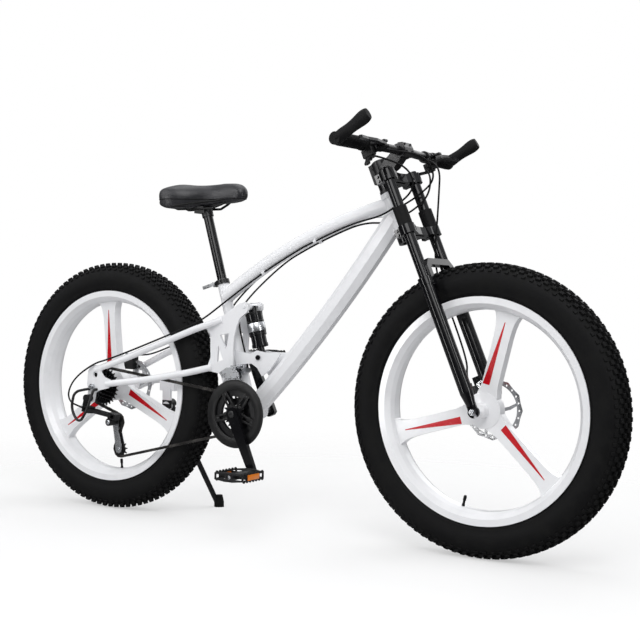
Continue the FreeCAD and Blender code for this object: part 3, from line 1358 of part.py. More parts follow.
def pedal(name, side, spot):
    """A platform of two end plates and two toothed bars round the pedal axle."""
    middle = (PEDAL_INNER + PEDAL_WIDTH * 0.5) * side
    frame = Placement(V(spot.x, middle, spot.z), Rotation())
    barrel = cylinder("pedal barrel " + name, 13, PEDAL_WIDTH, (0, -PEDAL_WIDTH * 0.5, 0), Y, frame)
    pieces = [barrel, box("pedal deck " + name, (84, PEDAL_WIDTH * 0.36, 17), (0, 0, 0), frame)]
    for end in (-1, 1):
        pieces.append(box("pedal end %s %d" % (name, end), (92, 7, 22), (0, (PEDAL_WIDTH * 0.5 - 3.5) * end, 0), frame))
        pieces.append(box("pedal bar %s %d" % (name, end), (9, PEDAL_WIDTH, 22), (42 * end, 0, 0), frame))
        for tooth in range(5):
            spot = (42 * end, PEDAL_WIDTH * (tooth - 2) * 0.2, 0)
            pieces.append(box("pedal tooth %s %d" % (name, end), (9, 8, 28), spot, frame))
    bore = cylinder("pedal bore " + name, 6 + S.run_clear, PEDAL_WIDTH - 3, (0, -PEDAL_WIDTH * 0.5 * side, 0), Y * side, frame)
    node(name + "_pedal", cut("pedal " + name, fuse("pedal blank " + name, pieces), [bore]))


def chainrings():
    phase = roller_phase(CRANK)
    rings = (("small", S.small_ring, 0, 26), ("middle", S.middle_ring, 1, 50), ("large", S.large_ring, 2, 50))
    pieces = []
    for name, teeth, place, hole in rings:
        middle = S.chain_y - S.ring_step * place
        pieces.append(toothed(name + " ring", CRANK, teeth, middle, S.ring_thick, hole, phase))
    hub_face = S.chain_y - S.ring_step
    hub = (CRANK_X, hub_face, S.crank_height)
    pieces.append(tube("spider hub", 22, S.spindle_radius, CRANK_INNER + hub_face, hub, Y * -1))
    for i in range(5):
        frame = Placement(V(float(CRANK_X), float(hub_face) - 3.5, float(S.crank_height)), Rotation(Y, i * 72 + 20))
        pieces.append(box("spider arm %d" % i, (48, 4, 15), (40, 0, 0), frame))
    for i, (x, z) in enumerate(ring_points(57, 5, -20)):
        length = S.ring_step + S.ring_thick
        pieces.append(cylinder("outer bolt %d" % i, 5, length, (x, hub_face + S.ring_thick * 0.5, z), Y * -1))
    for i, (x, z) in enumerate(ring_points(33, 5, -20)):
        length = S.ring_step + 4
        pieces.append(cylinder("inner bolt %d" % i, 4.5, length, (x, S.chain_y + S.ring_thick * 0.5, z), Y * -1))
    node("chainrings", fuse("chainring set", pieces))
    centre = (float(CRANK_X), float(S.crank_height))
    large_face = S.chain_y - S.ring_step * 2 - S.ring_thick * 0.5
    guard_face = -CRANK_INNER + 1.5 + S.guard_thick
    slots = [((x, z), 11) for x, z in ring_points(73, 10, 0)]
    disc = plate("guard disc", None, S.guard_thick, guard_face, [(centre, S.guard_radius), (centre, 54)] + slots)
    posts = []
    for i, (x, z) in enumerate(ring_points(59, 5, 18)):
        posts.append(cylinder("guard post %d" % i, 4, large_face - guard_face + 1, (x, large_face, z), Y * -1))
    node("chain_guard", fuse("guard with posts", [disc] + posts))


# Gear changers

LINK_LEAN = 12.7
LINK_FROM_AXLE = (-4, -69)
LINK_SIDE = -110
LINK_REACH = (67.65, 24)
OUTER_PIN = (-3, -8)
INNER_PIN = (3, 7)
LINK_HALF = 5
LUG_THICK = 3.7
CHANGER = Placement(V(float(REAR_X) + LINK_FROM_AXLE[0], LINK_SIDE, float(S.tyre_radius) + LINK_FROM_AXLE[1]), Rotation(Y, LINK_LEAN))
CAGE_PIVOT = CHANGER.multVec(V(LINK_REACH[0], 0, -19))
UPPER_JOCKEY = V(CAGE_PIVOT.x, 0, CAGE_PIVOT.z)
LOWER_JOCKEY = UPPER_JOCKEY + V(15, 0, -81)
CAGE_HALF = 6.2
CAGE_THICK = 2
JOCKEY_BORE = 3.05


def changer_link(label, pin):
    """One of the two parallel arms, with an eye at each end."""
    reach = V(LINK_REACH[0], LINK_REACH[1], 0)
    along = V(reach).normalize()
    across = V(-along.y, along.x, 0)
    start = V(pin[0], pin[1], 0)
    ends = ((-5, 2.5), (-2.5, 5), (reach.Length + 2.5, 5), (reach.Length + 5, 2.5))
    ends += tuple((a, -b) for a, b in reversed(ends))
    outline = [start + along * a + across * b for a, b in ends]
    holes = [((pin[0], pin[1]), 2.5 + S.run_clear), ((pin[0] + reach.x, pin[1] + reach.y), 2.5 + S.run_clear)]
    points = [(point.x, point.y) for point in outline]
    node(label, plate(label + " arm", points, LINK_HALF * 2, -LINK_HALF, holes, role="XY_Plane", frame=CHANGER))


def lug_pair(name, outline, shift):
    """Two lugs above and below the arms, and the pins through both."""
    points = [(a + shift[0], b + shift[1]) for a, b in outline]
    pieces = []
    start = LINK_HALF + float(S.part_gap)
    for kind, low in (("high", start), ("low", -start - LUG_THICK)):
        pieces.append(plate("%s lug %s" % (name, kind), points, LUG_THICK, low, role="XY_Plane", frame=CHANGER))
    for kind, pin in (("outer", OUTER_PIN), ("inner", INNER_PIN)):
        base = (pin[0] + shift[0], pin[1] + shift[1], -start - 1)
        pieces.append(cylinder("%s %s pin" % (name, kind), 2.5, start * 2 + 2, base, Z, CHANGER))
    return pieces


def rear_changer():
    lugs = lug_pair("mount", ((-20, -15), (-2, -15), (4, -11), (9, 5), (7, 13), (-4, 14), (-20, 8)), (0, 0))
    back = box("mount back", (6, 23, 18), (-17, -3.5, 0), CHANGER)
    arm = box("mount arm", (14, 12, 34), (-15, -7, 22), CHANGER)
    bolt = (REAR_X + HANGER_BOLT[0], -S.rear_drop_inside - S.drop_thick, S.tyre_radius + HANGER_BOLT[1])
    boss = cylinder("mount boss", 11, 20, bolt, Y * -1)
    node("derailleur_mount", fuse("changer mount", lugs + [back, arm, boss]))
    changer_link("derailleur_outer_link", OUTER_PIN)
    changer_link("derailleur_inner_link", INNER_PIN)
    knuckle()
    cage()
    guard()


def knuckle():
    pieces = lug_pair("knuckle", ((-8, -12), (3, -15), (20, -13), (20, 12), (5, 14), (-5, 9)), LINK_REACH)
    x, y = LINK_REACH
    pieces.append(box("knuckle front", (6, 25, 18), (x + 17, y - 0.5, 0), CHANGER))
    inner = S.chain_y - CAGE_HALF - CAGE_THICK - S.part_gap
    outer = LINK_SIDE + y - 14
    base = (CAGE_PIVOT.x, inner, CAGE_PIVOT.z)
    pieces.append(cylinder("knuckle barrel", 11, inner - outer, base, Y * -1))
    bore = cylinder("knuckle bore", 4 + S.run_clear, 40, base, Y * -1)
    node("derailleur_knuckle", cut("knuckle", fuse("knuckle blank", pieces), [bore]))


def cage():
    """Two side plates with the chain running between them, on a bolt through the knuckle."""
    outline = ((-13, 4), (-7, 13), (7, 13), (13, 4), (12, -30), (25, -74), (24, -88), (15, -94), (6, -92), (2, -84), (-3, -50))
    pieces = []
    inner_points = about((UPPER_JOCKEY.x, 0, UPPER_JOCKEY.z), outline)
    for name, face in (("outer", S.chain_y - CAGE_HALF), ("inner", S.chain_y + CAGE_HALF + CAGE_THICK)):
        pieces.append(plate("cage plate " + name, inner_points, CAGE_THICK, face))
    width = CAGE_HALF * 2 + CAGE_THICK
    for name, centre in (("upper", UPPER_JOCKEY), ("lower", LOWER_JOCKEY)):
        base = (centre.x, S.chain_y - width * 0.5, centre.z)
        pieces.append(cylinder("jockey stud " + name, 3, width, base, Y))
        rim_part = toothed(name + " jockey rim", centre, S.jockey_teeth, S.chain_y, 2.4, JOCKEY_BORE, roller_phase(centre))
        hub = (centre.x, S.chain_y - 4, centre.z)
        core = tube(name + " jockey hub", 14, JOCKEY_BORE, 8, hub, Y)
        node(name + "_jockey_wheel", fuse(name + " jockey", [rim_part, core]))
    outer = (CAGE_PIVOT.x, S.chain_y - CAGE_HALF - 1, CAGE_PIVOT.z)
    pieces.append(cylinder("cage bolt", 4, 26, outer, Y * -1))
    node("derailleur_cage", fuse("cage", pieces))


def guard():
    """A bent rod round the gear changer, both ends on the dropout."""
    face = -float(S.rear_drop_inside) - float(S.drop_thick)
    x = float(REAR_X)
    z = float(S.tyre_radius)
    route = [(x - 14, face, z - 8), (x - 14, face - 12, z - 8), (x - 44, face - 32, z - 16), (x - 55, face - 34, z - 68),
             (x - 22, face - 34, z - 110), (x + 6, face - 34, z - 72), (x + 15, face - 14, z - 8), (x + 15, face, z - 8)]
    rod, _, _ = pipe("changer guard", route, 4)
    node("derailleur_guard", formed("guard rod", rod))


FRONT_CHANGER_UP = 118


def front_changer():
    """A band on the seat tube carrying a cage over the chainwheels."""
    band = tube("changer band", S.seat_tube_radius + 4, S.seat_tube_radius, 14, (0, 0, FRONT_CHANGER_UP - 7), Z, SEAT)
    hinge = seat_point(FRONT_CHANGER_UP, 27)
    arm = box("changer arm", (16, 44, 11), (hinge.x - 4, -24, hinge.z - 2))
    barrel = cylinder("changer pin", 3, 28, (hinge.x - 14, -49, hinge.z + 10), X)
    ears = []
    for shift in (-14, 10):
        ears.append(box("changer ear %d" % shift, (4, 10, 20), (hinge.x + shift + 2, -49, hinge.z + 4)))
    foot = box("changer foot", (28, 8, 11), (hinge.x, -45, hinge.z - 2))
    skin = cylinder("changer band bore", S.seat_tube_radius, 80, (0, 0, FRONT_CHANGER_UP - 40), Z, SEAT)
    node("front_derailleur_body", cut("changer body", fuse("changer body blank", [band, arm, barrel, foot] + ears), [skin]))
    sleeve = cylinder("cage sleeve", 5.5, 19, (hinge.x - 9.5, -49, hinge.z + 10), X)
    bore = cylinder("cage sleeve bore", 3 + S.run_clear, 40, (hinge.x - 20, -49, hinge.z + 10), X)
    tongue = box("cage tongue", (18, 18, 5), (hinge.x, -61, hinge.z + 10))
    top = float(S.crank_height) + float(S.guard_radius) + 2
    front = float(CRANK_X) + 2
    pieces = [sleeve, tongue]
    outer = ((front, top + 18), (front + 4, top + 4), (front - 20, top + 1), (front - 54, top), (front - 66, top + 14), (front - 40, top + 30), (front - 14, top + 31))
    inner = ((front, top + 18), (front + 4, top - 6), (front - 20, top - 12), (front - 54, top - 14), (front - 66, top + 14), (front - 40, top + 30), (front - 14, top + 31))
    for name, outline, face in (("outer", outer, -69.5), ("inner", inner, -55.5)):
        pieces.append(plate("changer plate " + name, outline, 1.6, face))
    bridge = (front - 28, -63, top + 26)
    pieces.append(box("changer bridge", (22, 16, 4), bridge))
    riser = hinge.z + 10 - top - 26
    pieces.append(box("changer riser", (16, 6, abs(riser) + 5), (front - 20, -66, top + 26 + riser * 0.5)))
    node("front_derailleur_cage", cut("changer cage", fuse("changer cage blank", pieces), [bore]))


# Disc brakes

def brakes():
    slot = S.rotor_thick + 1.6
    gap = S.rotor_radius + 2
    middle = S.front_rotor_y + S.rotor_thick * 0.5
    body = box("front caliper block", (38, 25, 36), (3, S.front_rotor_y + 3.5, 54), STEER)
    stud = cylinder("front caliper stud", 4, 9, (-8, S.front_rotor_y + 14, 52), Y, STEER)
    room = cylinder("front caliper slot", gap, slot, (S.fork_rake, middle - slot * 0.5, 0), Y, STEER)
    stop = box("front cable stop", (10, 10, 16), (2, S.front_rotor_y + 11, 76), STEER)
    node("front_caliper", cut("front caliper body", fuse("front caliper blank", [body, stud, stop]), [room]))
    outer = S.front_rotor_y + 16
    caliper_arm("front_caliper_arm", STEER, (-8, outer + S.part_gap, 52), (-14, 32))
    middle = S.rear_rotor_y + S.rotor_thick * 0.5
    frame = Placement(V(float(REAR_X), 0, float(S.tyre_radius)), Rotation())
    body = box("rear caliper block", (40, 27, 38), (-8, S.rear_rotor_y + 2, 64), frame)
    ear = cylinder("rear caliper ear", 7, S.rear_drop_inside - S.rear_rotor_y - 10, (4, S.rear_rotor_y + 10, 54), Y, frame)
    stud = cylinder("rear caliper stud", 4, 10, (-16, S.rear_rotor_y + 14, 66), Y, frame)
    room = cylinder("rear caliper slot", gap, slot, (0, middle - slot * 0.5, 0), Y, frame)
    stop = box("rear cable stop", (10, 10, 16), (7, S.rear_rotor_y + 10, 88), frame)
    node("rear_caliper", cut("rear caliper body", fuse("rear caliper blank", [body, ear, stud, stop]), [room]))
    outer = S.rear_rotor_y + 15.5
    caliper_arm("rear_caliper_arm", frame, (-16, outer + S.part_gap, 66), (-22, 22))


def caliper_arm(label, frame, pivot, reach):
    """The lever that the cable pulls to close a caliper."""
    x, y, z = pivot
    outline = ((-9, -4), (-4, -9), (4, -9), (9, -4), (reach[0] + 7, reach[1] + 2), (reach[0] + 2, reach[1] + 8), (reach[0] - 5, reach[1] + 4))
    points = [(x + a, float(z) + b) for a, b in outline]
    node(label, plate(label + " blade", points, 4.5, y + 4.5, [((x, z), 4 + S.run_clear)], frame=frame))


# Kickstand

STAND_FROM_AXLE = (135, 95, -55)
STAND_FOOT_FROM_AXLE = (252, 190)


def kickstand():
    pivot = V(float(REAR_X) + STAND_FROM_AXLE[0], STAND_FROM_AXLE[1], float(S.tyre_radius) + STAND_FROM_AXLE[2])
    foot = V(float(REAR_X) + STAND_FOOT_FROM_AXLE[0], STAND_FOOT_FROM_AXLE[1], 0)
    along = (foot - pivot).normalize()
    axis = V(0, 1, -along.y / along.z).normalize()
    frame = Placement(pivot, Rotation(Z, axis))
    stay, _, _ = pipe("stand stay", stay_path(1, False), S.stay_radius, 60)
    block = box("stand block", (56, 25, 38), (pivot.x, 87, pivot.z + 59))
    tongue = box("stand tongue", (30, 8, 64), (pivot.x, 76, pivot.z + 18))
    ear = cylinder("stand ear", 14, 11, (0, 0, -22.3), Z, frame)
    pin = cylinder("stand pin", 5, 36, (0, 0, -22), Z, frame)
    head = cylinder("stand pin head", 8, 3, (0, 0, 11.4), Z, frame)
    blank = fuse("stand bracket blank", [block, tongue, ear, pin, head])
    node("kickstand_bracket", cut("stand bracket", blank, [formed("stand saddle", stay)]))
    length = (foot - pivot).Length - float(S.foot_height)
    barrel = cylinder("stand barrel", 12.5, 22, (0, 0, -11), Z, frame)
    leg = cylinder("stand leg", S.stand_radius, length, pivot, along)
    hole = cylinder("stand bore", 5 + S.run_clear, 40, (0, 0, -20), Z, frame)
    socket = cylinder("foot socket", S.stand_radius, length, pivot, along)
    node("kickstand_leg", cut("stand", fuse("stand blank", [barrel, leg]), [hole]))
    pad = cylinder("foot pad", S.foot_radius, S.foot_height, foot)
    neck = cone("foot neck", S.foot_radius, S.stand_radius + 2, 22, foot + V(0, 0, float(S.foot_height)))
    node("kickstand_foot", cut("foot", fuse("foot blank", [pad, neck]), [socket]))


# Brake and gear units on the bar

def unit_plate(name, outline, thick, level, frame):
    """A plate that lies along the bar: outline by reach ahead and place along the bar."""
    body = plate(name, outline, thick, 0, radius=3, role="XY_Plane")
    body.Placement = frame.multiply(Placement(V(0, level + thick * 0.5, 0), Rotation(X, 90)))
    return body


JAW = ((10, 1), (30, 0), (43, 6), (43, 24), (32, 26), (10, 26))
HOUSING = ((-20, 25), (4, 25), (13, 30), (13, 45), (-20, 45))


def controls():
    pods = []
    for name, side in SIDES:
        frame = bar_frame(side, S.pod_inner)
        down = side
        pieces = [cylinder("brake ring " + name, S.bar_radius + 5, 14, (0, 0, 0), Z, frame)]
        for kind, drop in (("high", 7), ("low", 20)):
            pieces.append(unit_plate("brake jaw %s %s" % (kind, name), JAW, 4.4, drop * down, frame))
        root = ((9, 0), (17, 0), (17, 26), (9, 26))
        pieces.append(unit_plate("brake root " + name, root, 17.4, 13.5 * down, frame))
        pieces.append(cylinder("brake pin " + name, 3, 17, (32, 5 * down, 16), Y * down, frame))
        pieces.append(cylinder("gear ring " + name, S.bar_radius + 4.5, 18, (0, 0, 27), Z, frame))
        pieces.append(unit_plate("gear housing " + name, HOUSING, 20, 22 * down, frame))
        bridge = ((-3, 5), (9, 5), (9, 35), (-3, 35))
        pieces.append(unit_plate("unit bridge " + name, bridge, 8, 15 * down, frame))
        pieces.append(cylinder("gear pin " + name, 3, 12, (-4, 30 * down, 35), Y * down, frame))
        bore = cylinder("unit bore " + name, S.bar_radius, 80, (0, 0, -10), Z, frame)
        pods.append(cut("unit " + name, fuse("unit blank " + name, pieces), [bore]))
        brake_lever(name, frame, down)
        shift_lever(name, frame, down)
    node("control_pods", *pods)


def brake_lever(name, frame, down):
    outline = ((22, 10), (30, 6), (41, 12), (42, 30), (47, 60), (46, 100), (49, 130), (45, 138), (39, 132), (37, 100), (37, 62), (32, 36), (24, 24))
    low = 9.5 if down > 0 else -16.9
    turn = Rotation(X, 90)
    body = plate("brake blade " + name, outline, 7.4, 0, [((32, 16), 3 + S.run_clear)], role="XY_Plane")
    body.Placement = frame.multiply(Placement(V(0, low + 7.4, 0), turn))
    node(name + "_brake_lever", body)


def shift_lever(name, frame, down):
    outline = ((5, 28), (5, 41), (-10, 44), (-14, 40), (-40, 12), (-36, 4), (-26, 6), (-12, 26), (-8, 27))
    start = 32.3
    low = start if down > 0 else -start - 5
    body = plate("shift blade " + name, outline, 5, 0, [((-4, 35), 3 + S.run_clear)], role="XY_Plane")
    body.Placement = frame.multiply(Placement(V(0, low + 5, 0), Rotation(X, 90)))
    node(name + "_shift_lever", body)


# Cables

TOP_SHARES = (0.18, 0.34, 0.5, 0.66, 0.82)
GUIDE_LENGTH = 9
CABLE_STANDOFF = 1.4


def top_tube_spot(share, angle):
    """A place beside the top tube: share of its length from the head, angle from its underside."""
    wire, _, _ = top_tube_path()
    edge = wire.Edges[0]
    place = edge.getParameterByLength(edge.Length * share)
    heading = edge.tangentAt(place)
    down = heading.cross(Y)
    reach = float(S.top_tube_radius) + float(S.cable_radius) + CABLE_STANDOFF
    turn = math.radians(angle)
    return edge.valueAt(place) + (down * math.cos(turn) + Y * math.sin(turn)) * reach


CABLE_ANGLES = {"rear shift": -40, "rear brake": 74, "front shift": 40}
CABLE_EYES = {"rear shift": (1, 3), "rear brake": (1, 3), "front shift": (1,)}


def cable_guides():
    """Short eyes under the top tube that hold the cables, and the holes through them."""
    eyes = []
    holes = []
    for name, angle in CABLE_ANGLES.items():
        for span in CABLE_EYES[name]:
            start = top_tube_spot(TOP_SHARES[span], angle)
            end = top_tube_spot(TOP_SHARES[span + 1], angle)
            along = (end - start).normalize()
            base = (start + end) * 0.5 - along * (GUIDE_LENGTH / 2)
            eyes.append(cylinder("eye " + name, S.cable_radius + 2.2, GUIDE_LENGTH, base, along))
            holes.append(cylinder("eye hole " + name, S.cable_radius + S.run_clear, GUIDE_LENGTH, base, along))
    return eyes, holes


def along_top(name):
    return [top_tube_spot(share, CABLE_ANGLES[name]) for share in TOP_SHARES]


def along_stay(side):
    """Places over an upper stay, from the seat tube's flank to just before the dropout."""
    x = float(CRANK_X)
    z = float(S.crank_height)
    rear = float(REAR_X)
    axle = float(S.tyre_radius)
    return [(x - 92, 28 * side, z + 300), (x - 130, 54 * side, z + 262), (x - 170, 68 * side, z + 239),
            (rear + 140, 75 * side, axle + 117)]


def bar_exit(side, ahead, drop, along):
    return bar_frame(side, S.pod_inner).multVec(V(ahead, drop * side, along))


def cables():
    """The four cable housings, each in one length from its lever to what it pulls."""
    rear = float(REAR_X)
    axle = float(S.tyre_radius)
    stop_y = float(S.rear_rotor_y) + 10
    routes = {}
    routes["rear shift"] = [bar_exit(-1, -4, 27, 24.5), bar_exit(-1, -4, 27, -20), steer_point(104, -62, 636),
                            steer_point(92, -40, 586), steer_point(20, -40, 566), steer_point(-36, -30, 566)]
    routes["rear shift"] += along_top("rear shift") + along_stay(-1)
    routes["rear shift"] += [(rear + 50, -96, axle + 82), (rear + 10, -110, axle + 70), (rear - 60, -116, axle + 26),
                             (rear - 90, -116, axle - 20), (rear - 80, -116, axle - 50)]
    routes["rear shift"] += [CHANGER.multVec(V(-48, -6, 0)), CHANGER.multVec(V(-20, -6, 0))]
    routes["rear brake"] = [bar_exit(-1, 13, 13.5, 0), bar_exit(-1, 13, 13.5, -26), steer_point(140, -20, 660),
                            steer_point(126, 30, 606), steer_point(60, 44, 590), steer_point(-10, 42, 584),
                            steer_point(-50, 33, 588)]
    routes["rear brake"] += along_top("rear brake") + along_stay(1)
    routes["rear brake"] += [(rear + 70, stop_y + 2, axle + 94), (rear + 34, stop_y, axle + 89), (rear + 12, stop_y, axle + 89)]
    routes["front shift"] = [bar_exit(1, -4, 27, 24.5), bar_exit(1, -4, 27, -20), steer_point(96, 74, 630),
                             steer_point(76, 52, 576), steer_point(20, 34, 556), steer_point(-44, 26, 554)]
    routes["front shift"] += along_top("front shift")[:-1]
    routes["front shift"] += [seat_point(300, 34) + V(0, 9, 0), seat_point(250, 22), seat_point(170, 22)]
    hinge = seat_point(FRONT_CHANGER_UP, 27)
    routes["front shift"] += [(hinge.x - 4, -8, hinge.z + 22), (hinge.x - 4, -8, hinge.z + 3.5)]
    routes["front brake"] = [bar_exit(1, 13, 13.5, 0), bar_exit(1, 13, 13.5, -32), steer_point(132, 66, 640),
                             steer_point(112, 40, 566), steer_point(80, 38, 498), steer_point(50, 38, 440),
                             steer_point(22, 58, 388), steer_point(20, 61, 330), steer_point(18, 61, 140),
                             steer_point(2, 56, 104), steer_point(2, 56, 84)]
    solids = []
    for name, route in routes.items():
        shape, length, radii = pipe(name + " cable", route, S.cable_radius)
        solids.append(formed(name + " cable", shape))
        print("%s cable: %.0f mm, arcs %s" % (name, length, [round(radius) for radius in radii]))
    node("control_cables", *solids)


# The order of work

def build():
    wheels()
    main_frame()
    bearing_cups()
    seat_group()
    fork_top()
    fork_lowers()
    cockpit()
    controls()
    swingarm()
    shock()
    cranks()
    sprockets()
    rear_changer()
    front_changer()
    chain()
    brakes()
    kickstand()
    cables()


def check_and_write():
    """Stop on any failed feature or shape, then write every piece to its own file."""
    doc.recompute()
    for feature in doc.Objects:
        if "Invalid" in feature.State or "Error" in feature.State:
            raise ValueError("failed feature: %s %s" % (feature.Label, feature.State))
    os.makedirs("parts", exist_ok=True)
    for piece in NODES:
        shape = piece.Shape
        if shape.isNull() or not shape.isValid():
            raise ValueError("bad shape: " + piece.Label)
    for piece in NODES:
        piece.Shape.exportStep("parts/%s.step" % piece.Label)


build()
check_and_write()
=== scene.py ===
"""A fat tyre bicycle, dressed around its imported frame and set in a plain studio."""
import logging
import math
from dataclasses import dataclass
from enum import Enum
from typing import Any, Dict, List, Optional, Sequence, Tuple, Union

import bmesh
import bpy
from mathutils import Matrix, Vector
from mathutils.bvhtree import BVHTree


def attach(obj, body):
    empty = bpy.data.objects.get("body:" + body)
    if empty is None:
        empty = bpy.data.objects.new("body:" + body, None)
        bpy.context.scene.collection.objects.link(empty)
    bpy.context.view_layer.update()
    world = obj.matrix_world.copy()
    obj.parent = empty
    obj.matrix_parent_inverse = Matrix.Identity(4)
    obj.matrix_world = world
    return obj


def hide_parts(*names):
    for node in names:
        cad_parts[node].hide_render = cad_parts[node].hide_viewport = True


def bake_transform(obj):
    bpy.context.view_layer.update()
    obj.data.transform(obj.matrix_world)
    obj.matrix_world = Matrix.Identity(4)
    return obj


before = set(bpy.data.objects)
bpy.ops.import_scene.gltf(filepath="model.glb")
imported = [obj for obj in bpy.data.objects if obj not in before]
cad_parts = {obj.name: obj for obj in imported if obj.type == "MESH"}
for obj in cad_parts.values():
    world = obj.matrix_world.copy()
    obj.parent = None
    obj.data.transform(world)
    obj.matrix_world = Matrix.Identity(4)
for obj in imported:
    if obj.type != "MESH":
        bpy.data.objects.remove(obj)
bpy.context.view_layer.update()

LOG = logging.getLogger("fat_tyre_bike")
MM = 0.001
FULL_TURN = 2 * math.pi
MERGE = 1e-6
COAT_ROUGHNESS = 0.08
RELIEF_DEPTH = 0.6
Colour = Tuple[float, float, float]
Point = Tuple[float, float, float]
Outline = Sequence[Tuple[float, float]]
UP = Vector((0, 0, 1))
AXLE = Vector((0, 1, 0))
FACING_AHEAD = Matrix(((0, 0, 1, 0), (1, 0, 0, 0), (0, 1, 0, 0), (0, 0, 0, 1)))
REAR_AXLE = Vector((-0.610, 0, 0.370))
FRONT_AXLE = Vector((0.610, 0, 0.370))
CRANK_AXLE = Vector((-0.106, 0, 0.3195))


class Texture(Enum):
    """The ways in which a finish breaks up its surface."""

    SPECKLE = "speckle"
    BRUSHED = "brushed"
    PEBBLE = "pebble"
    TURNED = "turned"


@dataclass(frozen=True)
class Finish:
    """One finish of the bike: colours, gloss and the fine relief of its surface."""

    name: str
    slot: str
    colour: Colour
    patch: Colour
    rough: Tuple[float, float]
    texture: Texture = Texture.SPECKLE
    scale: float = 400.0
    relief: float = 0.1
    metallic: float = 0.0
    coat: float = 0.0
    specular: float = 0.5
    centre: Point = (0.0, 0.0, 0.0)


FRAME_ENAMEL = Finish("frame_enamel", "frame_white", (0.87, 0.874, 0.893), (0.84, 0.844, 0.864), (0.25, 0.27),
                      relief=0.01, scale=260, coat=0.1, specular=0.2)
WHEEL_ENAMEL = Finish("wheel_enamel", "wheel_white", (0.88, 0.883, 0.90), (0.84, 0.844, 0.862), (0.31, 0.34),
                      relief=0.02, scale=300, coat=0.35)
RED_ENAMEL = Finish("red_enamel", "wheel_white", (0.58, 0.005, 0.013), (0.48, 0.004, 0.010), (0.22, 0.34),
                    relief=0.03, specular=0.3)
FORK_ENAMEL = Finish("fork_enamel", "fork_black", (0.004, 0.004, 0.005), (0.007, 0.007, 0.008), (0.105, 0.12),
                     relief=0.006, scale=260, specular=0.3)
SATIN_BLACK = Finish("satin_black", "black_metal", (0.006, 0.006, 0.007), (0.012, 0.012, 0.013), (0.28, 0.44),
                     relief=0.06, specular=0.3)
MOULDED = Finish("moulded_plastic", "plastic", (0.006, 0.006, 0.0065), (0.011, 0.011, 0.011), (0.40, 0.56),
                 relief=0.14, scale=900, specular=0.22)
TREAD = Finish("tread_rubber", "tyre", (0.0038, 0.0038, 0.0042), (0.008, 0.008, 0.0078), (0.58, 0.80),
               relief=0.2, scale=500, specular=0.1)
SOFT_RUBBER = Finish("soft_rubber", "rubber", (0.006, 0.006, 0.0065), (0.012, 0.012, 0.012), (0.54, 0.72),
                     relief=0.16, scale=800, specular=0.1)
BRUSHED_STEEL = Finish("brushed_steel", "steel", (0.50, 0.51, 0.53), (0.36, 0.37, 0.39), (0.26, 0.42),
                       Texture.BRUSHED, 300, 0.08, metallic=1.0)
OILED_STEEL = Finish("oiled_steel", "steel", (0.045, 0.043, 0.042), (0.09, 0.085, 0.08), (0.30, 0.46),
                     Texture.BRUSHED, 300, 0.08, metallic=1.0)
BRIGHT_CHROME = Finish("bright_chrome", "chrome", (0.66, 0.67, 0.69), (0.55, 0.56, 0.58), (0.10, 0.20),
                       Texture.BRUSHED, 240, 0.03, metallic=1.0)
COVER = Finish("saddle_vinyl", "saddle_cover", (0.012, 0.012, 0.015), (0.02, 0.02, 0.024), (0.36, 0.50),
               Texture.PEBBLE, 520, 0.3, specular=0.44)
AMBER = Finish("amber_lens", "plastic", (0.86, 0.23, 0.015), (0.66, 0.14, 0.01), (0.12, 0.24),
               Texture.PEBBLE, 330, 0.5, coat=0.4)


def add_object(name: str, data: bpy.types.ID) -> bpy.types.Object:
    """Put a new object with its data into the scene.

    Args:
        name: The object's name.
        data: Its mesh, curve, lamp or camera.

    Returns:
        The new object.
    """
    made = bpy.data.objects.new(name, data)
    bpy.context.scene.collection.objects.link(made)
    return made


def mesh_from(made: bmesh.types.BMesh, name: str) -> bpy.types.Mesh:
    """The mesh of a form, which is freed.

    Args:
        made: The form.
        name: The mesh's name.

    Returns:
        The new mesh.
    """
    data = bpy.data.meshes.new(name)
    made.to_mesh(data)
    made.free()
    return data


def final_mesh(piece: bpy.types.Object) -> bpy.types.Mesh:
    """An object's mesh with all its modifiers applied."""
    depsgraph = bpy.context.evaluated_depsgraph_get()
    return bpy.data.meshes.new_from_object(piece.evaluated_get(depsgraph))


def node_copy(name: str) -> bmesh.types.BMesh:
    """A solid's surface as a new form, with its facets joined.

    Args:
        name: The node's name.

    Returns:
        The form.
    """
    made = bmesh.new()
    made.from_mesh(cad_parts[name].data)
    bmesh.ops.remove_doubles(made, verts=made.verts, dist=MERGE)
    made.normal_update()
    return made


def adjust(node: bpy.types.Node, values: Dict[str, Any]) -> None:
    """Set a shader node's inputs by their names."""
    for name, value in values.items():
        node.inputs[name].default_value = value


def new_node(tree: bpy.types.NodeTree, kind: str, values: Optional[Dict[str, Any]] = None,
             **settings: Any) -> bpy.types.Node:
    """Put a shader node into a tree.

    Args:
        tree: The tree that gets the node.
        kind: The node's type.
        values: Inputs to set, by their names.
        settings: Properties to set before the inputs.

    Returns:
        The new node.
    """
    node = tree.nodes.new(kind)
    for name, setting in settings.items():
        setattr(node, name, setting)
    adjust(node, values or {})
    return node


def wire(source: bpy.types.Node, output: str, target: bpy.types.Node, entry: Union[str, int]) -> None:
    """Join an output of one shader node to an input of another."""
    source.id_data.links.new(source.outputs[output], target.inputs[entry])


def turned_steel(name: str, centre: Vector, tone: float) -> Finish:
    """A steel disc's finish, turned about its own axle.

    Args:
        name: The finish's name.
        centre: A point on the axle.
        tone: How bright the steel is, 0 to 1.

    Returns:
        The finish.
    """
    bright = (tone, tone * 1.01, tone * 1.03)
    dull = (tone * 0.7, tone * 0.7, tone * 0.72)
    return Finish(name, "steel", bright, dull, (0.22, 0.36), Texture.TURNED, 900, 0.1, metallic=1.0,
                  centre=tuple(centre))


FRONT_DISC = turned_steel("front_disc_steel", FRONT_AXLE, 0.5)
REAR_DISC = turned_steel("rear_disc_steel", REAR_AXLE, 0.5)
COG_STEEL = turned_steel("cog_steel", REAR_AXLE, 0.07)

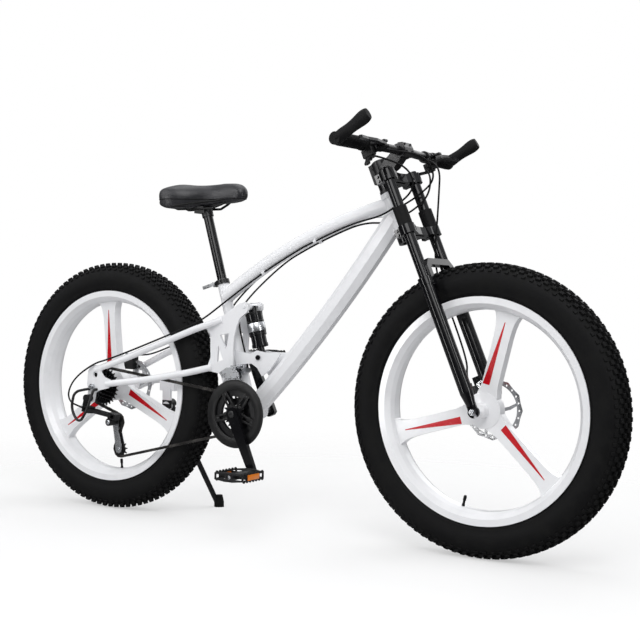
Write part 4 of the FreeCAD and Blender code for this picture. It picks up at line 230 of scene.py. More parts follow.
NODE_FINISHES: Dict[Finish, Sequence[str]] = {
    FRAME_ENAMEL: ("main_frame", "swingarm", "kickstand_bracket"),
    WHEEL_ENAMEL: ("front_wheel", "rear_wheel"),
    FORK_ENAMEL: ("fork_crowns", "fork_lowers", "shock_body", "shock_shaft", "stanchions", "seatpost",
                  "right_crank", "left_crank"),
    SATIN_BLACK: ("stem", "handlebar", "chainrings", "seat_clamp", "bearing_cups", "right_brake_lever",
                  "left_brake_lever", "kickstand_leg", "saddle_clamp", "derailleur_guard",
                  "derailleur_outer_link", "front_caliper", "rear_caliper", "derailleur_mount",
                  "derailleur_knuckle", "derailleur_inner_link"),
    MOULDED: ("chain_guard", "control_pods", "right_shift_lever", "left_shift_lever", "right_pedal",
              "left_pedal", "saddle_base", "upper_jockey_wheel", "lower_jockey_wheel"),
    TREAD: ("front_tyre", "rear_tyre"),
    SOFT_RUBBER: ("grips", "stanchion_bumpers", "kickstand_foot", "control_cables"),
    COVER: ("saddle_pad",),
    BRUSHED_STEEL: ("crank_spindle", "front_derailleur_body", "front_derailleur_cage", "pivot_axle",
                    "pedal_axles", "derailleur_cage", "front_caliper_arm", "rear_caliper_arm", "rear_axle",
                    "front_axle"),
    OILED_STEEL: ("chain",),
    BRIGHT_CHROME: ("seat_clamp_lever",),
    FRONT_DISC: ("front_rotor",),
    REAR_DISC: ("rear_rotor",),
    COG_STEEL: ("freewheel",),
}


class Paintbox:
    """Builds each finish once as a material, from node groups that all of them share."""

    def __init__(self) -> None:
        """Make the shared groups ready."""
        self.made: Dict[str, bpy.types.Material] = {}
        self.groups = {
            Texture.SPECKLE: self.noise_group("speckle_grain", (1, 1, 1)),
            Texture.BRUSHED: self.noise_group("brushed_grain", (0.04, 1, 1)),
            Texture.PEBBLE: self.pebble_group(),
            Texture.TURNED: self.turned_group(),
        }

    @staticmethod
    def open_group(name: str) -> bpy.types.NodeTree:
        """Start a group with the inputs and outputs that every finish uses.

        Args:
            name: The group's name.

        Returns:
            The new group, with nothing between its ends.
        """
        group = bpy.data.node_groups.new(name, "ShaderNodeTree")
        group.interface.new_socket("Place", in_out="INPUT", socket_type="NodeSocketVector")
        for value in ("Scale", "Gloss", "Dull"):
            group.interface.new_socket(value, in_out="INPUT", socket_type="NodeSocketFloat")
        for value in ("Patch", "Roughness", "Height"):
            group.interface.new_socket(value, in_out="OUTPUT", socket_type="NodeSocketFloat")
        group.nodes.new("NodeGroupInput").name = "ends in"
        group.nodes.new("NodeGroupOutput").name = "ends out"
        return group

    def close_group(self, group: bpy.types.NodeTree, grain: bpy.types.Node, output: str) -> None:
        """Join a group's relief and its slow patches to its outputs, and give it a roughness.

        Args:
            group: The group to finish.
            grain: The node that makes the fine relief.
            output: The relief's output, 0 to 1.
        """
        source = group.nodes["ends in"]
        target = group.nodes["ends out"]
        patch = self.cloudy_mask(group)
        sheen = new_node(group, "ShaderNodeMapRange")
        wire(patch, "Result", sheen, "Value")
        wire(source, "Gloss", sheen, "To Min")
        wire(source, "Dull", sheen, "To Max")
        wire(patch, "Result", target, "Patch")
        wire(sheen, "Result", target, "Roughness")
        wire(grain, output, target, "Height")

    @staticmethod
    def cloudy_mask(group: bpy.types.NodeTree) -> bpy.types.Node:
        """Slow patches of dust and wear that every finish has.

        Args:
            group: The group that gets the mask.

        Returns:
            The node whose result is the mask, 0 to 1.
        """
        cloud = new_node(group, "ShaderNodeTexNoise", {"Scale": 24, "Detail": 5, "Roughness": 0.62})
        spread = new_node(group, "ShaderNodeMapRange", {"From Min": 0.42, "From Max": 0.72},
                          interpolation_type="SMOOTHSTEP")
        wire(group.nodes["ends in"], "Place", cloud, "Vector")
        wire(cloud, "Fac", spread, "Value")
        return spread

    def noise_group(self, name: str, stretch: Point) -> bpy.types.NodeTree:
        """A fine grain, drawn out along x where it is brushed.

        Args:
            name: The group's name.
            stretch: Scale of the grain along each axis.

        Returns:
            The finished group.
        """
        group = self.open_group(name)
        source = group.nodes["ends in"]
        draw = new_node(group, "ShaderNodeMapping", {"Scale": stretch})
        grain = new_node(group, "ShaderNodeTexNoise", {"Detail": 3})
        wire(source, "Place", draw, "Vector")
        wire(draw, "Vector", grain, "Vector")
        wire(source, "Scale", grain, "Scale")
        self.close_group(group, grain, "Fac")
        return group

    def pebble_group(self) -> bpy.types.NodeTree:
        """Small rounded cells, as on vinyl and moulded lenses.

        Returns:
            The finished group.
        """
        group = self.open_group("pebble_grain")
        source = group.nodes["ends in"]
        cells = new_node(group, "ShaderNodeTexVoronoi")
        wire(source, "Place", cells, "Vector")
        wire(source, "Scale", cells, "Scale")
        self.close_group(group, cells, "Distance")
        return group

    def turned_group(self) -> bpy.types.NodeTree:
        """Rings about the y axis, as a lathe leaves on a disc.

        Returns:
            The finished group.
        """
        group = self.open_group("turned_grain")
        source = group.nodes["ends in"]
        flat = new_node(group, "ShaderNodeMapping", {"Scale": (1, 0, 1)})
        reach = new_node(group, "ShaderNodeVectorMath", operation="LENGTH")
        rings = new_node(group, "ShaderNodeTexNoise", noise_dimensions="1D")
        wire(source, "Place", flat, "Vector")
        wire(flat, "Vector", reach, 0)
        wire(reach, "Value", rings, "W")
        wire(source, "Scale", rings, "Scale")
        self.close_group(group, rings, "Fac")
        return group

    def material(self, finish: Finish) -> bpy.types.Material:
        """The material of a finish.

        Args:
            finish: What it looks like.

        Returns:
            The material, made on first use.
        """
        if finish.name in self.made:
            return self.made[finish.name]
        made = bpy.data.materials.new(finish.name)
        made.use_nodes = True
        tree = made.node_tree
        shader = tree.nodes["Principled BSDF"]
        adjust(shader, {"Metallic": finish.metallic, "Specular IOR Level": finish.specular,
                        "Coat Weight": finish.coat, "Coat Roughness": COAT_ROUGHNESS})
        place = new_node(tree, "ShaderNodeTexCoord")
        shift = new_node(tree, "ShaderNodeMapping", {"Location": -Vector(finish.centre)})
        gloss, dull = finish.rough
        grain = new_node(tree, "ShaderNodeGroup", {"Scale": finish.scale, "Gloss": gloss, "Dull": dull},
                         node_tree=self.groups[finish.texture])
        blend = new_node(tree, "ShaderNodeMix", {"A": (*finish.colour, 1), "B": (*finish.patch, 1)},
                         data_type="RGBA")
        bump = new_node(tree, "ShaderNodeBump", {"Strength": finish.relief, "Distance": RELIEF_DEPTH * MM})
        wire(place, "Object", shift, "Vector")
        wire(shift, "Vector", grain, "Place")
        wire(grain, "Patch", blend, "Factor")
        wire(blend, "Result", shader, "Base Color")
        wire(grain, "Roughness", shader, "Roughness")
        wire(grain, "Height", bump, "Height")
        wire(bump, "Normal", shader, "Normal")
        self.made[finish.name] = made
        return made


class Workbench:
    """Turns finished meshes into pieces that ride on the bike."""

    def __init__(self, paint: Paintbox) -> None:
        """Keep the paints at hand."""
        self.paint = paint

    def piece(self, name: str, mesh: bmesh.types.BMesh, finish: Finish,
              crease: float = 35.0) -> bpy.types.Object:
        """Close a mesh and dress it.

        Args:
            name: The piece's name.
            mesh: Its form, which is freed.
            finish: Its finish.
            crease: Edges sharper than this many degrees stay sharp.

        Returns:
            The new object, which still has to be put on a body.
        """
        bmesh.ops.recalc_face_normals(mesh, faces=mesh.faces)
        return self.dress(name, mesh_from(mesh, name), finish, crease)

    def dress(self, name: str, data: bpy.types.Mesh, finish: Finish,
              crease: float = 35.0) -> bpy.types.Object:
        """Put a mesh into the scene with its finish.

        Args:
            name: The piece's name.
            data: Its mesh.
            finish: Its finish.
            crease: Edges sharper than this many degrees stay sharp.

        Returns:
            The new object.
        """
        data.materials.clear()
        data.materials.append(self.paint.material(finish))
        data.shade_smooth()
        data.set_sharp_from_angle(angle=math.radians(crease))
        made = add_object(name, data)
        LOG.info("%s: %d faces", name, len(data.polygons))
        return made

    def dress_nodes(self) -> None:
        """Give every carried-over node its finish."""
        for finish, names in NODE_FINISHES.items():
            for name in names:
                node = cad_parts[name]
                node.data.materials.clear()
                node.data.materials.append(self.paint.material(finish))
                LOG.info("%s: %s", name, finish.name)


def turn_about(axle: Vector, angle: float) -> Matrix:
    """A turn about a wheel's axle, from up towards the front."""
    return Matrix.Translation(axle) @ Matrix.Rotation(angle, 4, AXLE)


def aimed(spot: Vector, heading: Vector) -> Matrix:
    """A place whose local z axis points along a heading."""
    return Matrix.Translation(spot) @ heading.to_track_quat("Z", "Y").to_matrix().to_4x4()


def spun(corners: Sequence[Vector], centre: Vector, axis: Vector, steps: int,
         ring: bool = False) -> bmesh.types.BMesh:
    """Spin a line through corners once round an axis.

    Args:
        corners: The line's corners.
        centre: A point on the axis.
        axis: The axis's heading.
        steps: Sides of the spun form.
        ring: Close the line.

    Returns:
        The spun form.
    """
    made = bmesh.new()
    verts = [made.verts.new(corner) for corner in corners]
    for first, second in zip(verts, verts[1:] + verts[:1] if ring else verts[1:]):
        made.edges.new((first, second))
    bmesh.ops.spin(made, geom=made.verts[:] + made.edges[:], cent=centre, axis=axis, angle=FULL_TURN,
                   steps=steps, use_merge=True)
    return made


def lathe(outline: Outline, place: Matrix, steps: int = 32, ring: bool = False) -> bmesh.types.BMesh:
    """Turn an outline about the z axis of a place.

    Args:
        outline: Radius and height of each corner, in millimetres.
        place: Where the turned form stands.
        steps: Sides of the turned form.
        ring: Close the outline, for a form with a hole.

    Returns:
        The turned form.
    """
    made = spun([Vector((radius, 0, height)) * MM for radius, height in outline], Vector(), UP, steps, ring)
    bmesh.ops.remove_doubles(made, verts=made.verts, dist=MERGE)
    bmesh.ops.recalc_face_normals(made, faces=made.faces)
    bmesh.ops.transform(made, matrix=place, verts=made.verts)
    return made


def oblong(left: float, low: float, right: float, high: float) -> Outline:
    """Corners of an oblong, from its lower left one."""
    return [(left, low), (right, low), (right, high), (left, high)]


def hoop(radii: Point, low: float, high: float, cut: float) -> Outline:
    """Section of a ring whose outer edges are cut off.

    Args:
        radii: Radius at the hole, at the end faces' edge and at the outside.
        low: Height of the lower end.
        high: Height of the upper end.
        cut: Height of the cut edges.

    Returns:
        The section's corners.
    """
    hole, shoulder, outside = radii
    return [(hole, low), (shoulder, low), (outside, low + cut), (outside, high - cut), (shoulder, high),
            (hole, high)]


def verts_in(geometry: Sequence[Any]) -> List[bmesh.types.BMVert]:
    """The vertices among an operator's results."""
    return [item for item in geometry if isinstance(item, bmesh.types.BMVert)]


def slab(outline: Outline, thick: float, place: Matrix, edge: float = 0.5) -> bmesh.types.BMesh:
    """A plate with rounded edges, standing up from the xy plane of a place.

    Args:
        outline: Corners in millimetres.
        thick: Thickness in millimetres.
        place: Where the plate lies.
        edge: Rounding of its edges in millimetres.

    Returns:
        The plate.
    """
    made = bmesh.new()
    face = made.faces.new([made.verts.new((a * MM, b * MM, 0)) for a, b in outline])
    grown = bmesh.ops.extrude_face_region(made, geom=[face])["geom"]
    bmesh.ops.translate(made, verts=verts_in(grown), vec=(0, 0, thick * MM))
    bmesh.ops.recalc_face_normals(made, faces=made.faces)
    bmesh.ops.bevel(made, geom=made.edges[:], offset=edge * MM, affect="EDGES", segments=2, profile=0.5,
                    material=-1)
    bmesh.ops.transform(made, matrix=place, verts=made.verts)
    return made


def joined(parts: Sequence[bmesh.types.BMesh]) -> bmesh.types.BMesh:
    """One mesh out of several, which are freed.

    Args:
        parts: The forms to join.

    Returns:
        The whole form.
    """
    whole = bmesh.new()
    for part in parts:
        data = mesh_from(part, "part")
        whole.from_mesh(data)
        bpy.data.meshes.remove(data)
    return whole


def tube_mesh(name: str, route: Sequence[Sequence[float]], radius: float,
              loop: bool = False) -> bpy.types.Mesh:
    """A round tube on a smooth line through a route.

    Args:
        name: Name of the new mesh.
        route: Points in metres.
        radius: Radius of the tube in millimetres.
        loop: Close the line.

    Returns:
        The tube's mesh.
    """
    curve = bpy.data.curves.new(name, "CURVE")
    curve.dimensions = "3D"
    spline = curve.splines.new("NURBS")
    spline.points.add(len(route) - 1)
    for point, spot in zip(spline.points, route):
        point.co = (*spot, 1)
    spline.order_u = 3
    spline.use_endpoint_u = not loop
    spline.use_cyclic_u = loop
    curve.resolution_u = 4 if loop else 10
    curve.bevel_depth = radius * MM
    curve.bevel_resolution = 3
    curve.use_fill_caps = not loop
    holder = add_object(name + "_line", curve)
    data = final_mesh(holder)
    bpy.data.objects.remove(holder)
    return data


@dataclass
class KnobbyTyre:
    """A fat tyre: a round casing with rows of knobs, in the place of its plain solid."""

    end: str
    axle: Vector
    pitches: int = 98
    sides: int = 180
    profile: Tuple[Tuple[float, float], ...] = (
        (36.0, 272.5), (36.0, 286.6), (39.8, 292.4), (41.2, 293.0), (42.0, 295.6), (42.0, 297.2),
        (45.0, 305.0), (47.2, 319.0), (46.4, 332.0), (43.0, 343.0), (37.0, 351.5), (28.0, 358.0),
        (15.0, 361.8), (0.0, 363.0),
    )
    # across, radius at the top, tilt in degrees, width, length, share of a pitch
    rows: Tuple[Tuple[float, float, float, float, float, float], ...] = (
        (7.0, 370.0, 2, 11.0, 12.0, 0.0), (20.5, 368.2, 11, 10.0, 13.0, 0.5),
        (32.5, 361.6, 34, 10.0, 14.0, 0.0), (41.4, 351.4, 56, 9.0, 11.0, 0.5),
    )
    knob_height: float = 7.5
    knob_taper: float = 0.84
    knob_edge: float = 0.7

    def casing(self) -> bmesh.types.BMesh:
        """The casing, spun from half a section and its mirror.

        Returns:
            The casing.
        """
        half = list(self.profile)
        section = half + [(-across, radius) for across, radius in reversed(half[:-1])]
        corners = [self.axle + Vector((0, across * MM, radius * MM)) for across, radius in section]
        return spun(corners, self.axle, AXLE, self.sides)

    def knobs(self) -> bmesh.types.BMesh:
        """One pitch of tapered knobs on both halves, repeated round the tyre.

        Returns:
            All the knobs.
        """
        made = bmesh.new()
        for side in (1, -1):
            for across, radius, tilt, width, length, share in self.rows:
                shift = (share + (0.5 if side < 0 else 0.0)) * FULL_TURN / self.pitches
                spot = Matrix.Translation((0, across * side * MM, radius * MM))
                place = turn_about(self.axle, shift) @ spot
                place = place @ Matrix.Rotation(math.radians(-tilt * side), 4, "X")
                drop = Matrix.Translation((0, 0, -self.knob_height * 0.5 * MM))
                size = Matrix.Diagonal((length * MM, width * MM, self.knob_height * MM, 1))
                block = bmesh.ops.create_cube(made, size=1, matrix=place @ drop @ size)["verts"]
                top = sorted(block, key=lambda vert: (place.inverted() @ vert.co).z)[4:]
                bmesh.ops.scale(made, verts=top, vec=(self.knob_taper, self.knob_taper, 1),
                                space=place.inverted())
        bmesh.ops.bevel(made, geom=made.edges[:], offset=self.knob_edge * MM, affect="EDGES", segments=1,
                        profile=0.5, material=-1)
        step = FULL_TURN / self.pitches
        bmesh.ops.spin(made, geom=made.verts[:] + made.edges[:] + made.faces[:], cent=self.axle, axis=AXLE,
                       angle=step * (self.pitches - 1), steps=self.pitches - 1, use_duplicate=True)
        return made

    def build(self, bench: Workbench) -> None:
        """Put casing and knobs on the wheel.

        Args:
            bench: Makes and dresses the pieces.
        """
        body = self.end + "_wheel"
        casing = bench.piece(self.end + "_tyre_casing", self.casing(), TREAD)
        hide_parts(self.end + "_tyre")
        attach(casing, body)
        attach(bench.piece(self.end + "_tyre_knobs", self.knobs(), TREAD), body)


@dataclass
class WheelTrim:
    """What a cast wheel carries: a tapered stripe on each spoke face and the valve."""

    end: str
    axle: Vector
    first_turn: float
    valve_turn: float
    face: float = 14.0
    wide_end: float = 66.0
    narrow_end: float = 228.0
    wide: float = 9.4
    narrow: float = 1.1
    lean: float = 10.0
    film: float = 0.25
    sunk: float = 1.6

    def stripes(self) -> bmesh.types.BMesh:
        """Three stripes on each side of the wheel, leaning to the spoke's trailing edge.

        Returns:
            All six stripes.
        """
        made = bmesh.new()
        for spoke in range(3):
            place = turn_about(self.axle, math.radians(self.first_turn) + spoke * FULL_TURN / 3)
            for side in (1, -1):
                level = (self.face + self.film) * side * MM
                root = self.lean * side
                corners = [(root - self.wide, self.wide_end), (root + self.wide, self.wide_end),
                           (self.narrow, self.narrow_end), (-self.narrow, self.narrow_end)]
                verts = [made.verts.new(place @ Vector((a * MM, level, b * MM))) for a, b in corners]
                made.faces.new(verts)
        grown = bmesh.ops.extrude_face_region(made, geom=made.faces[:])["geom"]
        for vert in verts_in(grown):
            side = 1 if vert.co.y > 0 else -1
            vert.co.y -= self.film * self.sunk * side * MM
        return made

    def valve(self) -> bmesh.types.BMesh:
        """A turned valve stem with its cap, from the rim towards the hub.

        Returns:
            The valve.
        """
        outline = [(0.0, 254.0), (4.4, 254.0), (3.9, 248.0), (3.2, 246.0), (3.2, 238.0), (4.2, 237.0),
                   (4.2, 227.0), (3.0, 224.0), (0.0, 223.6)]
        return lathe(outline, turn_about(self.axle, math.radians(self.valve_turn)), 16)

    def build(self, bench: Workbench) -> None:
        """Put stripes and valve on the wheel.

        Args:
            bench: Makes and dresses the pieces.
        """
        body = self.end + "_wheel"
        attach(bench.piece(self.end + "_spoke_stripes", self.stripes(), RED_ENAMEL), body)
        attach(bench.piece(self.end + "_valve", self.valve(), SOFT_RUBBER), body)


@dataclass
class Cable:
    """A length of cable housing on a smooth line through its route."""

    name: str
    route: Sequence[Point]
    ends: Tuple[str, str]
    bend: Tuple[Point, Point]
    ferrules: Tuple[str, str]
    radius: float = 2.5

    def ferrule(self, last: bool) -> bmesh.types.BMesh:
        """The turned end of the housing.

        Args:
            last: At the far end of the route.

        Returns:
            The ferrule.
        """
        points = self.route[-2:][::-1] if last else self.route[:2]
        spot = Vector(points[0])
        outline = [(0.0, -1.0), (2.4, -1.0), (2.9, 0.0), (3.3, 2.0), (3.3, 9.0), (2.9, 10.0), (2.9, 13.0),
                   (0.0, 13.0)]
        return lathe(outline, aimed(spot, Vector(points[1]) - spot), 16)

    def build(self, bench: Workbench) -> None:
        """Lay the housing and put its ferrules on their bodies.

        Args:
            bench: Makes and dresses the pieces.
        """
        housing = bench.dress(self.name, tube_mesh(self.name, self.route, self.radius), SOFT_RUBBER, 60)
        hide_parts("control_cables")
        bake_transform(housing)
        for last, body in zip((False, True), self.ferrules):
            if body:
                end = "_far_ferrule" if last else "_ferrule"
                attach(bench.piece(self.name + end, self.ferrule(last), SATIN_BLACK), body)


HEAD_BEND = ((0.42, 0.0, 0.955), (0.30, 0.0, 0.862))
SWING_BEND = ((-0.198, 0.0, 0.60), (-0.30, 0.0, 0.545))
FORK_BEND = ((0.444, 0.04, 0.83), (0.436, 0.058, 0.71))
GEAR_START = ((0.3593, 0.1568, 1.0017), (0.3625, 0.1125, 1.0019))
GEAR_EYES = ((0.2383, 0.0154, 0.8469), (0.149, 0.0154, 0.8156), (0.062, 0.0154, 0.7784))
BRAKE_START = (0.3713, 0.1332, 1.0209)
STAY_RUN = ((-0.198, 0.028, 0.6195), (-0.236, 0.054, 0.5815), (-0.276, 0.068, 0.5585), (-0.47, 0.075, 0.487))


def other_side(route: Sequence[Point]) -> List[Point]:
    """A route on the left side, carried over to the right side."""
    return [(x, -y, z) for x, y, z in route]


CABLES = (
    Cable("rear_shift_cable", (
        *other_side(GEAR_START), (0.4135, -0.062, 0.9777), (0.4222, -0.04, 0.927), (0.3639, -0.04, 0.8803),
        (0.3124, -0.03, 0.8583), *other_side(GEAR_EYES)),
          ("steer", "frame"), HEAD_BEND, ("steer", "")),
    Cable("rear_shift_cable_tail", (
        *other_side(GEAR_EYES[-1:]), (-0.0222, -0.0154, 0.7355), (-0.1034, -0.0154, 0.6869),
        *other_side(STAY_RUN), (-0.56, -0.096, 0.452), (-0.6, -0.11, 0.44), (-0.67, -0.116, 0.396),
        (-0.7, -0.116, 0.35), (-0.69, -0.116, 0.32), (-0.6608, -0.116, 0.3116), (-0.6335, -0.116, 0.3054)),
          ("frame", "swing"), SWING_BEND, ("", "swing")),
    Cable("rear_brake_cable", (
        *other_side([BRAKE_START]), (0.3732, -0.1073, 1.021), (0.4372, -0.02, 1.0139), (0.4456, 0.03, 0.9588),
        (0.3912, 0.044, 0.9181), (0.3292, 0.042, 0.8851), (0.2908, 0.033, 0.873), (0.2348, 0.023, 0.8581),
        (0.1447, 0.023, 0.8266), (0.0571, 0.023, 0.789)),
          ("steer", "frame"), HEAD_BEND, ("steer", "")),
    Cable("rear_brake_cable_tail", (
        (0.0571, 0.023, 0.789), (-0.0279, 0.023, 0.7457), (-0.1098, 0.023, 0.6968), *STAY_RUN,
        (-0.54, 0.081, 0.464), (-0.576, 0.079, 0.459), (-0.598, 0.079, 0.459)),
          ("frame", "swing"), SWING_BEND, ("", "swing")),
    Cable("front_shift_cable", (
        *GEAR_START, (0.4085, 0.074, 0.9691), (0.4114, 0.052, 0.9115), (0.3678, 0.034, 0.8711),
        (0.3097, 0.026, 0.8441), *GEAR_EYES, (-0.0222, 0.0154, 0.7355), (-0.1591, 0.009, 0.6167),
        (-0.1563, 0.0, 0.5654), (-0.1335, 0.0, 0.4887), (-0.1178, -0.008, 0.4623), (-0.1178, -0.008, 0.4438)),
          ("steer", "frame"), HEAD_BEND, ("steer", "frame")),
    Cable("front_brake_cable", (
        BRAKE_START, (0.3736, 0.1013, 1.021), (0.4377, 0.066, 0.9924), (0.4484, 0.04, 0.9165),
        (0.4458, 0.038, 0.8414), (0.441, 0.038, 0.7763), (0.4357, 0.058, 0.7175), (0.4567, 0.061, 0.6633),
        (0.5296, 0.061, 0.4879), (0.5291, 0.056, 0.4485), (0.537, 0.056, 0.4301)),
          ("steer", "fork"), FORK_BEND, ("steer", "fork")),
)


@dataclass
class ChainRun:
    """The chain between the cranks and the rear wheel, copied from its solid."""

    start: Point = (-0.20, -0.06, 0.33)
    end: Point = (-0.52, -0.06, 0.35)

    def build(self, bench: Workbench) -> None:
        """Copy the chain's links in the place of its solid.

        Args:
            bench: Makes and dresses the pieces.
        """
        links = bench.piece("chain_links", node_copy("chain"), OILED_STEEL)
        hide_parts("chain")
        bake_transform(links)


STEER_LEAN = 23.17
FORK_RAKE = 45.5
STEER = (Matrix.Translation(FRONT_AXLE) @ Matrix.Rotation(math.radians(-STEER_LEAN), 4, "Y")
         @ Matrix.Translation((-FORK_RAKE * MM, 0, 0)))


@dataclass
class Screw:
    """A round-headed screw with a socket."""

    body: str
    spot: Vector
    heading: Vector
    radius: float
    height: float = 2.2
    sunk: float = 0.4

    def mesh(self) -> bmesh.types.BMesh:
        """The head, standing on its spot.

        Returns:
            The head.
        """
        r = self.radius
        h = self.height
        outline = [(0.0, h * 0.3), (r * 0.5, h * 0.3), (r * 0.5, h), (r * 0.84, h), (r, h * 0.72),
                   (r, -self.sunk), (0.0, -self.sunk)]
        return lathe(outline, aimed(self.spot, self.heading), 18)


@dataclass
class Hardware:
    """The screws of discs, stem, cranks, pivots and gear changer, and the steerer's cap."""

    disc_circle: float = 26.5
    disc_screws: int = 6
    disc_screw_radius: float = 3.4
    stem_screw_radius: float = 3.2
    front_disc_face: float = 47.0
    rear_disc_face: float = 71.0
    stem_face: float = 96.0
    stem_half: float = 15.0
    stem_rise: Tuple[float, float] = (694.0, 714.0)
    ear: Tuple[float, float] = (-22.0, -8.9)
    ear_rise: Tuple[float, float] = (667.0, 696.0)
    steerer_top: float = 708.0
    cap_radius: float = 16.5
    cap_height: float = 3.2
    crank_face: float = 97.0
    crank_screw_radius: float = 9.6
    pivot: Point = (-0.165, 0.0445, 0.398)
    pivot_radius: float = 6.0
    pivot_height: float = 1.4
    knuckle: Point = (-0.5522, -0.100, 0.2676)
    knuckle_radius: float = 6.4
    lower_wheel: Point = (-0.5372, -0.0682, 0.1866)
    lower_wheel_radius: float = 4.6
    dark: Tuple[str, ...] = ("crank", "steer")

    def screws(self) -> List[Screw]:
        """Every screw, with its body and place.

        Returns:
            The screws.
        """
        made: List[Screw] = []
        discs = (("front_wheel", FRONT_AXLE, self.front_disc_face),
                 ("rear_wheel", REAR_AXLE, self.rear_disc_face))
        for body, axle, face in discs:
            arm = Vector((0, face * MM, self.disc_circle * MM))
            for i in range(self.disc_screws):
                spot = turn_about(axle, i * FULL_TURN / self.disc_screws) @ arm
                made.append(Screw(body, spot, AXLE, self.disc_screw_radius))
        ahead = STEER.to_3x3() @ Vector((1, 0, 0))
        for rise in self.stem_rise:
            for half in (self.stem_half, -self.stem_half):
                spot = STEER @ (Vector((self.stem_face, half, rise)) * MM)
                made.append(Screw("steer", spot, ahead, self.stem_screw_radius))
        for rise in self.ear_rise:
            spot = STEER @ (Vector((*self.ear, rise)) * MM)
            made.append(Screw("steer", spot, -AXLE, self.stem_screw_radius))
        top = STEER @ Vector((0, 0, self.steerer_top * MM))
        made.append(Screw("steer", top, STEER.to_3x3() @ UP, self.cap_radius, self.cap_height))
        for side in (1, -1):
            outwards = AXLE * side
            spot = CRANK_AXLE + outwards * self.crank_face * MM
            made.append(Screw("crank", spot, outwards, self.crank_screw_radius))
            spot = Vector((self.pivot[0], self.pivot[1] * side, self.pivot[2]))
            made.append(Screw("swing", spot, outwards, self.pivot_radius, self.pivot_height))
        made.append(Screw("changer_knuckle", Vector(self.knuckle), -AXLE, self.knuckle_radius))
        made.append(Screw("changer_cage", Vector(self.lower_wheel), -AXLE, self.lower_wheel_radius))
        return made

    def build(self, bench: Workbench) -> None:
        """Put the screws of each body on it as one piece.

        Args:
            bench: Makes and dresses the pieces.
        """
        rows: Dict[str, List[bmesh.types.BMesh]] = {}
        for screw in self.screws():
            rows.setdefault(screw.body, []).append(screw.mesh())
        for body, heads in rows.items():
            finish = SATIN_BLACK if body in self.dark else BRUSHED_STEEL
            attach(bench.piece(body + "_screws", joined(heads), finish), body)


@dataclass
class GuardRing:
    """The chain guard: a moulded ring on five ribbed arms, each with its screw."""

    face: float = -79.0
    thick: float = 3.5
    arms: int = 5
    first_turn: float = 110.0
    inner: float = 67.0
    outer: float = 94.5
    rib_height: float = 3.2
    pad_height: float = 2.6
    screw_place: Point = (0.0, 62.0, 2.5)
    screw_radius: float = 4.0
    screw_height: float = 1.0

    def build(self, bench: Workbench) -> None:
        """Make ring and arms and put them on the cranks.

        Args:
            bench: Makes and dresses the pieces.
        """
        start = CRANK_AXLE + Vector((0, self.face * MM, 0))
        outline = [(self.inner, 0.0), (self.inner, 2.4), (self.inner + 2.5, self.thick),
                   (self.outer - 7, self.thick), (self.outer - 5.5, 2.6), (self.outer - 1, 2.6),
                   (self.outer, 1.8), (self.outer, 0.0)]
        parts = [lathe(outline, aimed(start, -AXLE), 96, ring=True)]
        screws = []
        for i in range(self.arms):
            turn = math.radians(self.first_turn) + i * FULL_TURN / self.arms
            flat = turn_about(start, turn) @ Matrix.Rotation(math.pi / 2, 4, "X")
            for side in (1, -1):
                rib = [(4.2 * side, 22.0), (11.5 * side, 22.0), (9.0 * side, 70.0), (4.2 * side, 70.0)]
                parts.append(slab(rib, self.rib_height, flat))
            root = [(-12.5, 15.0), (12.5, 15.0), (11.0, 29.0), (-11.0, 29.0)]
            for pad in (root, oblong(-9.0, 54.0, 9.0, 70.0)):
                parts.append(slab(pad, self.pad_height, flat))
            spot = flat @ (Vector(self.screw_place) * MM)
            screws.append(Screw("crank", spot, -AXLE, self.screw_radius, self.screw_height).mesh())
        ring = bench.piece("chain_guard_ring", joined(parts), MOULDED)
        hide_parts("chain_guard")
        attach(ring, "crank")
        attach(bench.piece("chain_guard_screws", joined(screws), SATIN_BLACK), "crank")


